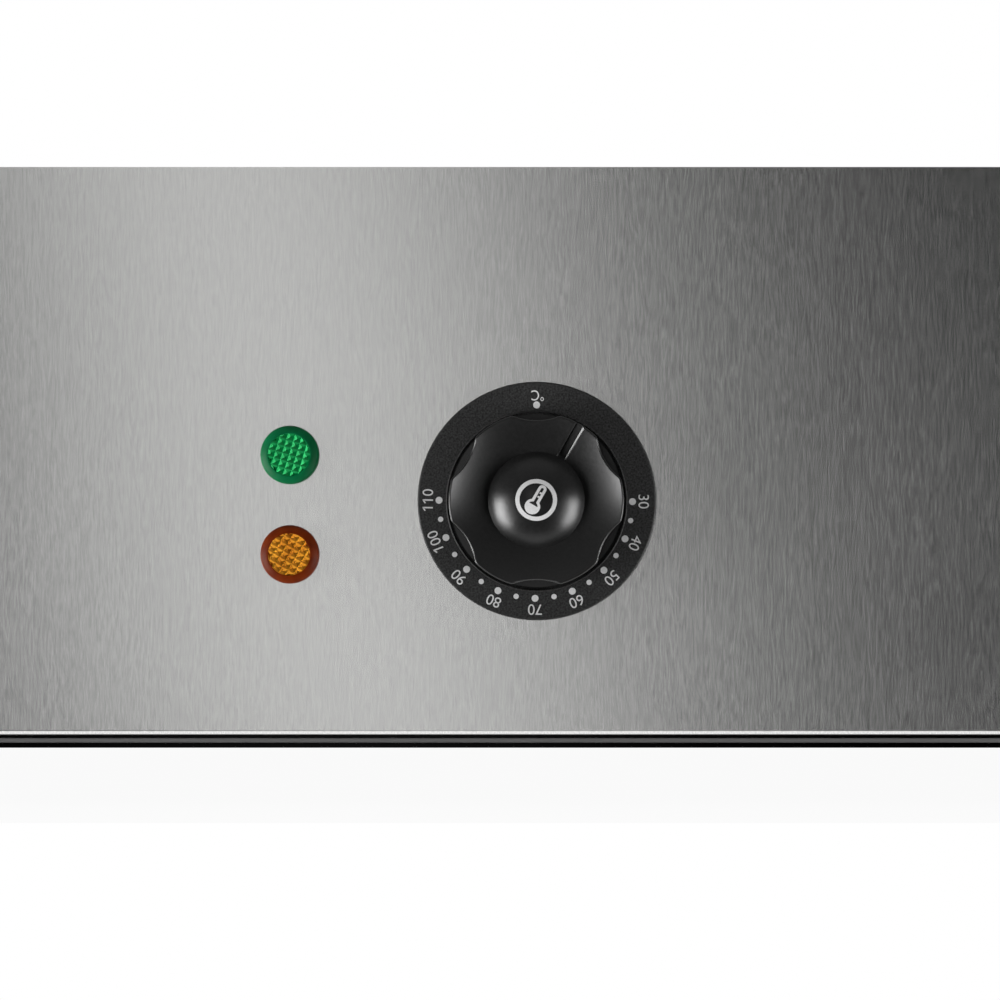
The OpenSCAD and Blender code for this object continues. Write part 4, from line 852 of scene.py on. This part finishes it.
sign_ring = hollow(disc(SIGN_R, sides=96), SIGN_STROKE)
tube = join([disc(BULB_R, BULB_Y), rounded_bar(TUBE_HALF)], "sign_tube")
empty = disc(BULB_GAP_R, BULB_Y)
edit()
bpy.ops.mesh.bisect(plane_co=(0, LEVEL_Y * MM, SIGN_Z), plane_no=(0, 1, 0), clear_inner=True)
bpy.ops.object.mode_set(mode="OBJECT")
empty = join([empty, rounded_bar(TUBE_GAP_HALF)], "sign_gap")
ticks = []
for tick_y in TICK_HEIGHTS:
    start_piece()
    bpy.ops.mesh.primitive_plane_add(size=1, location=(TICK_X * MM, tick_y * MM, SIGN_Z))
    bpy.context.object.scale = (TICK_LONG * MM, TICK_WIDE * MM, 1)
    ticks.append(settle())
ticks = join(ticks, "sign_ticks")
for piece in (tube, empty, ticks):
    pick(piece)
    piece.rotation_euler = (0, 0, -POINTER_TURN)
    settle()
sign = join([sign_ring, tube], "sign")
print("flat sign faces:", [len(piece.data.polygons) for piece in (sign, empty, ticks)])

# %% [markdown]
# The flat sign is dropped on the dome with a Shrinkwrap, so that it follows the curve. A thin
# Solidify makes each part a layer of ink: white first, black for the empty tube, then the ticks.
# Each layer lies 0.02 mm higher than the one before. Knob and sign then stand up on the panel.


# %% Ink on the knob
def lay_on_knob(piece, lift, name):
    """Drops a flat piece on the dome and gives it the thickness of ink."""
    pick(piece)
    edit()
    bpy.ops.mesh.quads_convert_to_tris()
    bpy.ops.mesh.subdivide(number_cuts=2)
    bpy.ops.object.mode_set(mode="OBJECT")
    wrap = piece.modifiers.new("wrap", "SHRINKWRAP")
    wrap.target = knob
    wrap.wrap_method = "PROJECT"
    wrap.use_project_z = True
    wrap.use_negative_direction = True
    wrap.use_positive_direction = False
    wrap.offset = lift * MM
    bpy.ops.object.modifier_apply(modifier="wrap")
    layer = piece.modifiers.new("layer", "SOLIDIFY")
    layer.thickness = PRINT_T
    bpy.ops.object.modifier_apply(modifier="layer")
    piece.name = piece.data.name = name


lay_on_knob(sign, lift=0.03, name="knob_sign")
lay_on_knob(empty, lift=0.05, name="knob_sign_gap")
lay_on_knob(ticks, lift=0.07, name="knob_sign_ticks")
for piece, finish in ((knob, knob_black), (sign, sign_ink), (empty, knob_black), (ticks, sign_ink)):
    pick(piece)
    stand_up(dial_x, panel_y, dial_z)
    hand_over(piece, "knob", finish)
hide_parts("knob")

# %% [markdown]
# A pilot lamp's lens has a smooth outer ring and a disc of small pyramid pits that scatters the
# light. The ring is turned, with a round shoulder and a low rim round the disc.

# %% Lens ring
LENS_R, LENS_H, LENS_GAP, SHOULDER = 7.3, 3.0, 0.05, 1.2
FACET_R, RIM_WIDE, RIM_FLAT, RIM_DROP, RIM_WALL = 5.25, 0.4, 0.1, 0.1, 1


def lens_ring(name):
    """The smooth ring of a lens, lying flat."""
    outline = [(LENS_R, LENS_GAP), (LENS_R, SHOULDER)]
    outline += arc((LENS_R - SHOULDER, SHOULDER), SHOULDER, 15, 60, 4)
    outline += [(FACET_R + RIM_WIDE, LENS_H - RIM_DROP), (FACET_R + RIM_FLAT, LENS_H - LENS_GAP)]
    outline += [(FACET_R - LENS_GAP, LENS_H - h) for h in (2 * RIM_DROP, RIM_WALL)]
    ring = turned(name, outline, sides=96)
    bpy.ops.object.shade_smooth_by_angle(angle=math.radians(50))
    return ring


print("lens", 2 * LENS_R, "mm across, facets", 2 * FACET_R, "mm")

# %% [markdown]
# The pits come from a grid whose faces are poked inwards to points, which is truer than a bump map:
# each small slope mirrors its own part of the studio. A cylinder then trims the grid to a disc.

# %% Lens facets
FACET_PITCH, FACET_DEEP, FACET_COUNT, FACET_BACK = 1.75, 0.55, 8, 1
TRIM_H, TRIM_Z = 8, 2


def lens_facets(name, turn):
    """The disc of pits in a lens, its rows turned by an angle, lying flat."""
    start_piece()
    bpy.ops.mesh.primitive_grid_add(x_subdivisions=FACET_COUNT, y_subdivisions=FACET_COUNT,
                                    size=FACET_COUNT * FACET_PITCH * MM,
                                    location=(0, 0, FACET_BACK * MM),
                                    rotation=(0, 0, math.radians(-turn)))
    facets = settle()
    facets.name = facets.data.name = name
    edit()
    extrude(0, 0, (LENS_H - LENS_GAP - FACET_BACK) * MM)
    bpy.ops.mesh.poke(offset=-FACET_DEEP * MM)
    face_outwards()
    start_piece()
    bpy.ops.mesh.primitive_cylinder_add(vertices=96, radius=FACET_R * MM, depth=TRIM_H * MM,
                                        location=(0, 0, TRIM_Z * MM))
    cut(facets, settle(), "INTERSECT")
    return facets


print("pits along a row:", int(2 * FACET_R / FACET_PITCH))

# %% [markdown]
# Both lamps have the same lens in two colours. The rows of pits lie at the angle at which each lens
# happens to sit in its lamp.

# %% Lamp lenses
GREEN_TURN, AMBER_TURN = 17, 31
lenses = {"green": (green_ring, green_prisms, GREEN_TURN),
          "amber": (amber_ring, amber_prisms, AMBER_TURN)}
for colour, (ring_finish, facet_finish, turn) in lenses.items():
    node = "lens_" + colour
    x, _, z = middle(node)
    ring = lens_ring(node + "_ring")
    stand_up(x, panel_y, z)
    hand_over(ring, "base", ring_finish)
    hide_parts(node)
    facets = lens_facets(node + "_facets", turn)
    stand_up(x, panel_y, z)
    hand_over(facets, "base", facet_finish)

# %% [markdown]
# The last line brings the view layer up to date, so that every piece stands where it was put.

# %% Finish
bpy.context.view_layer.update()
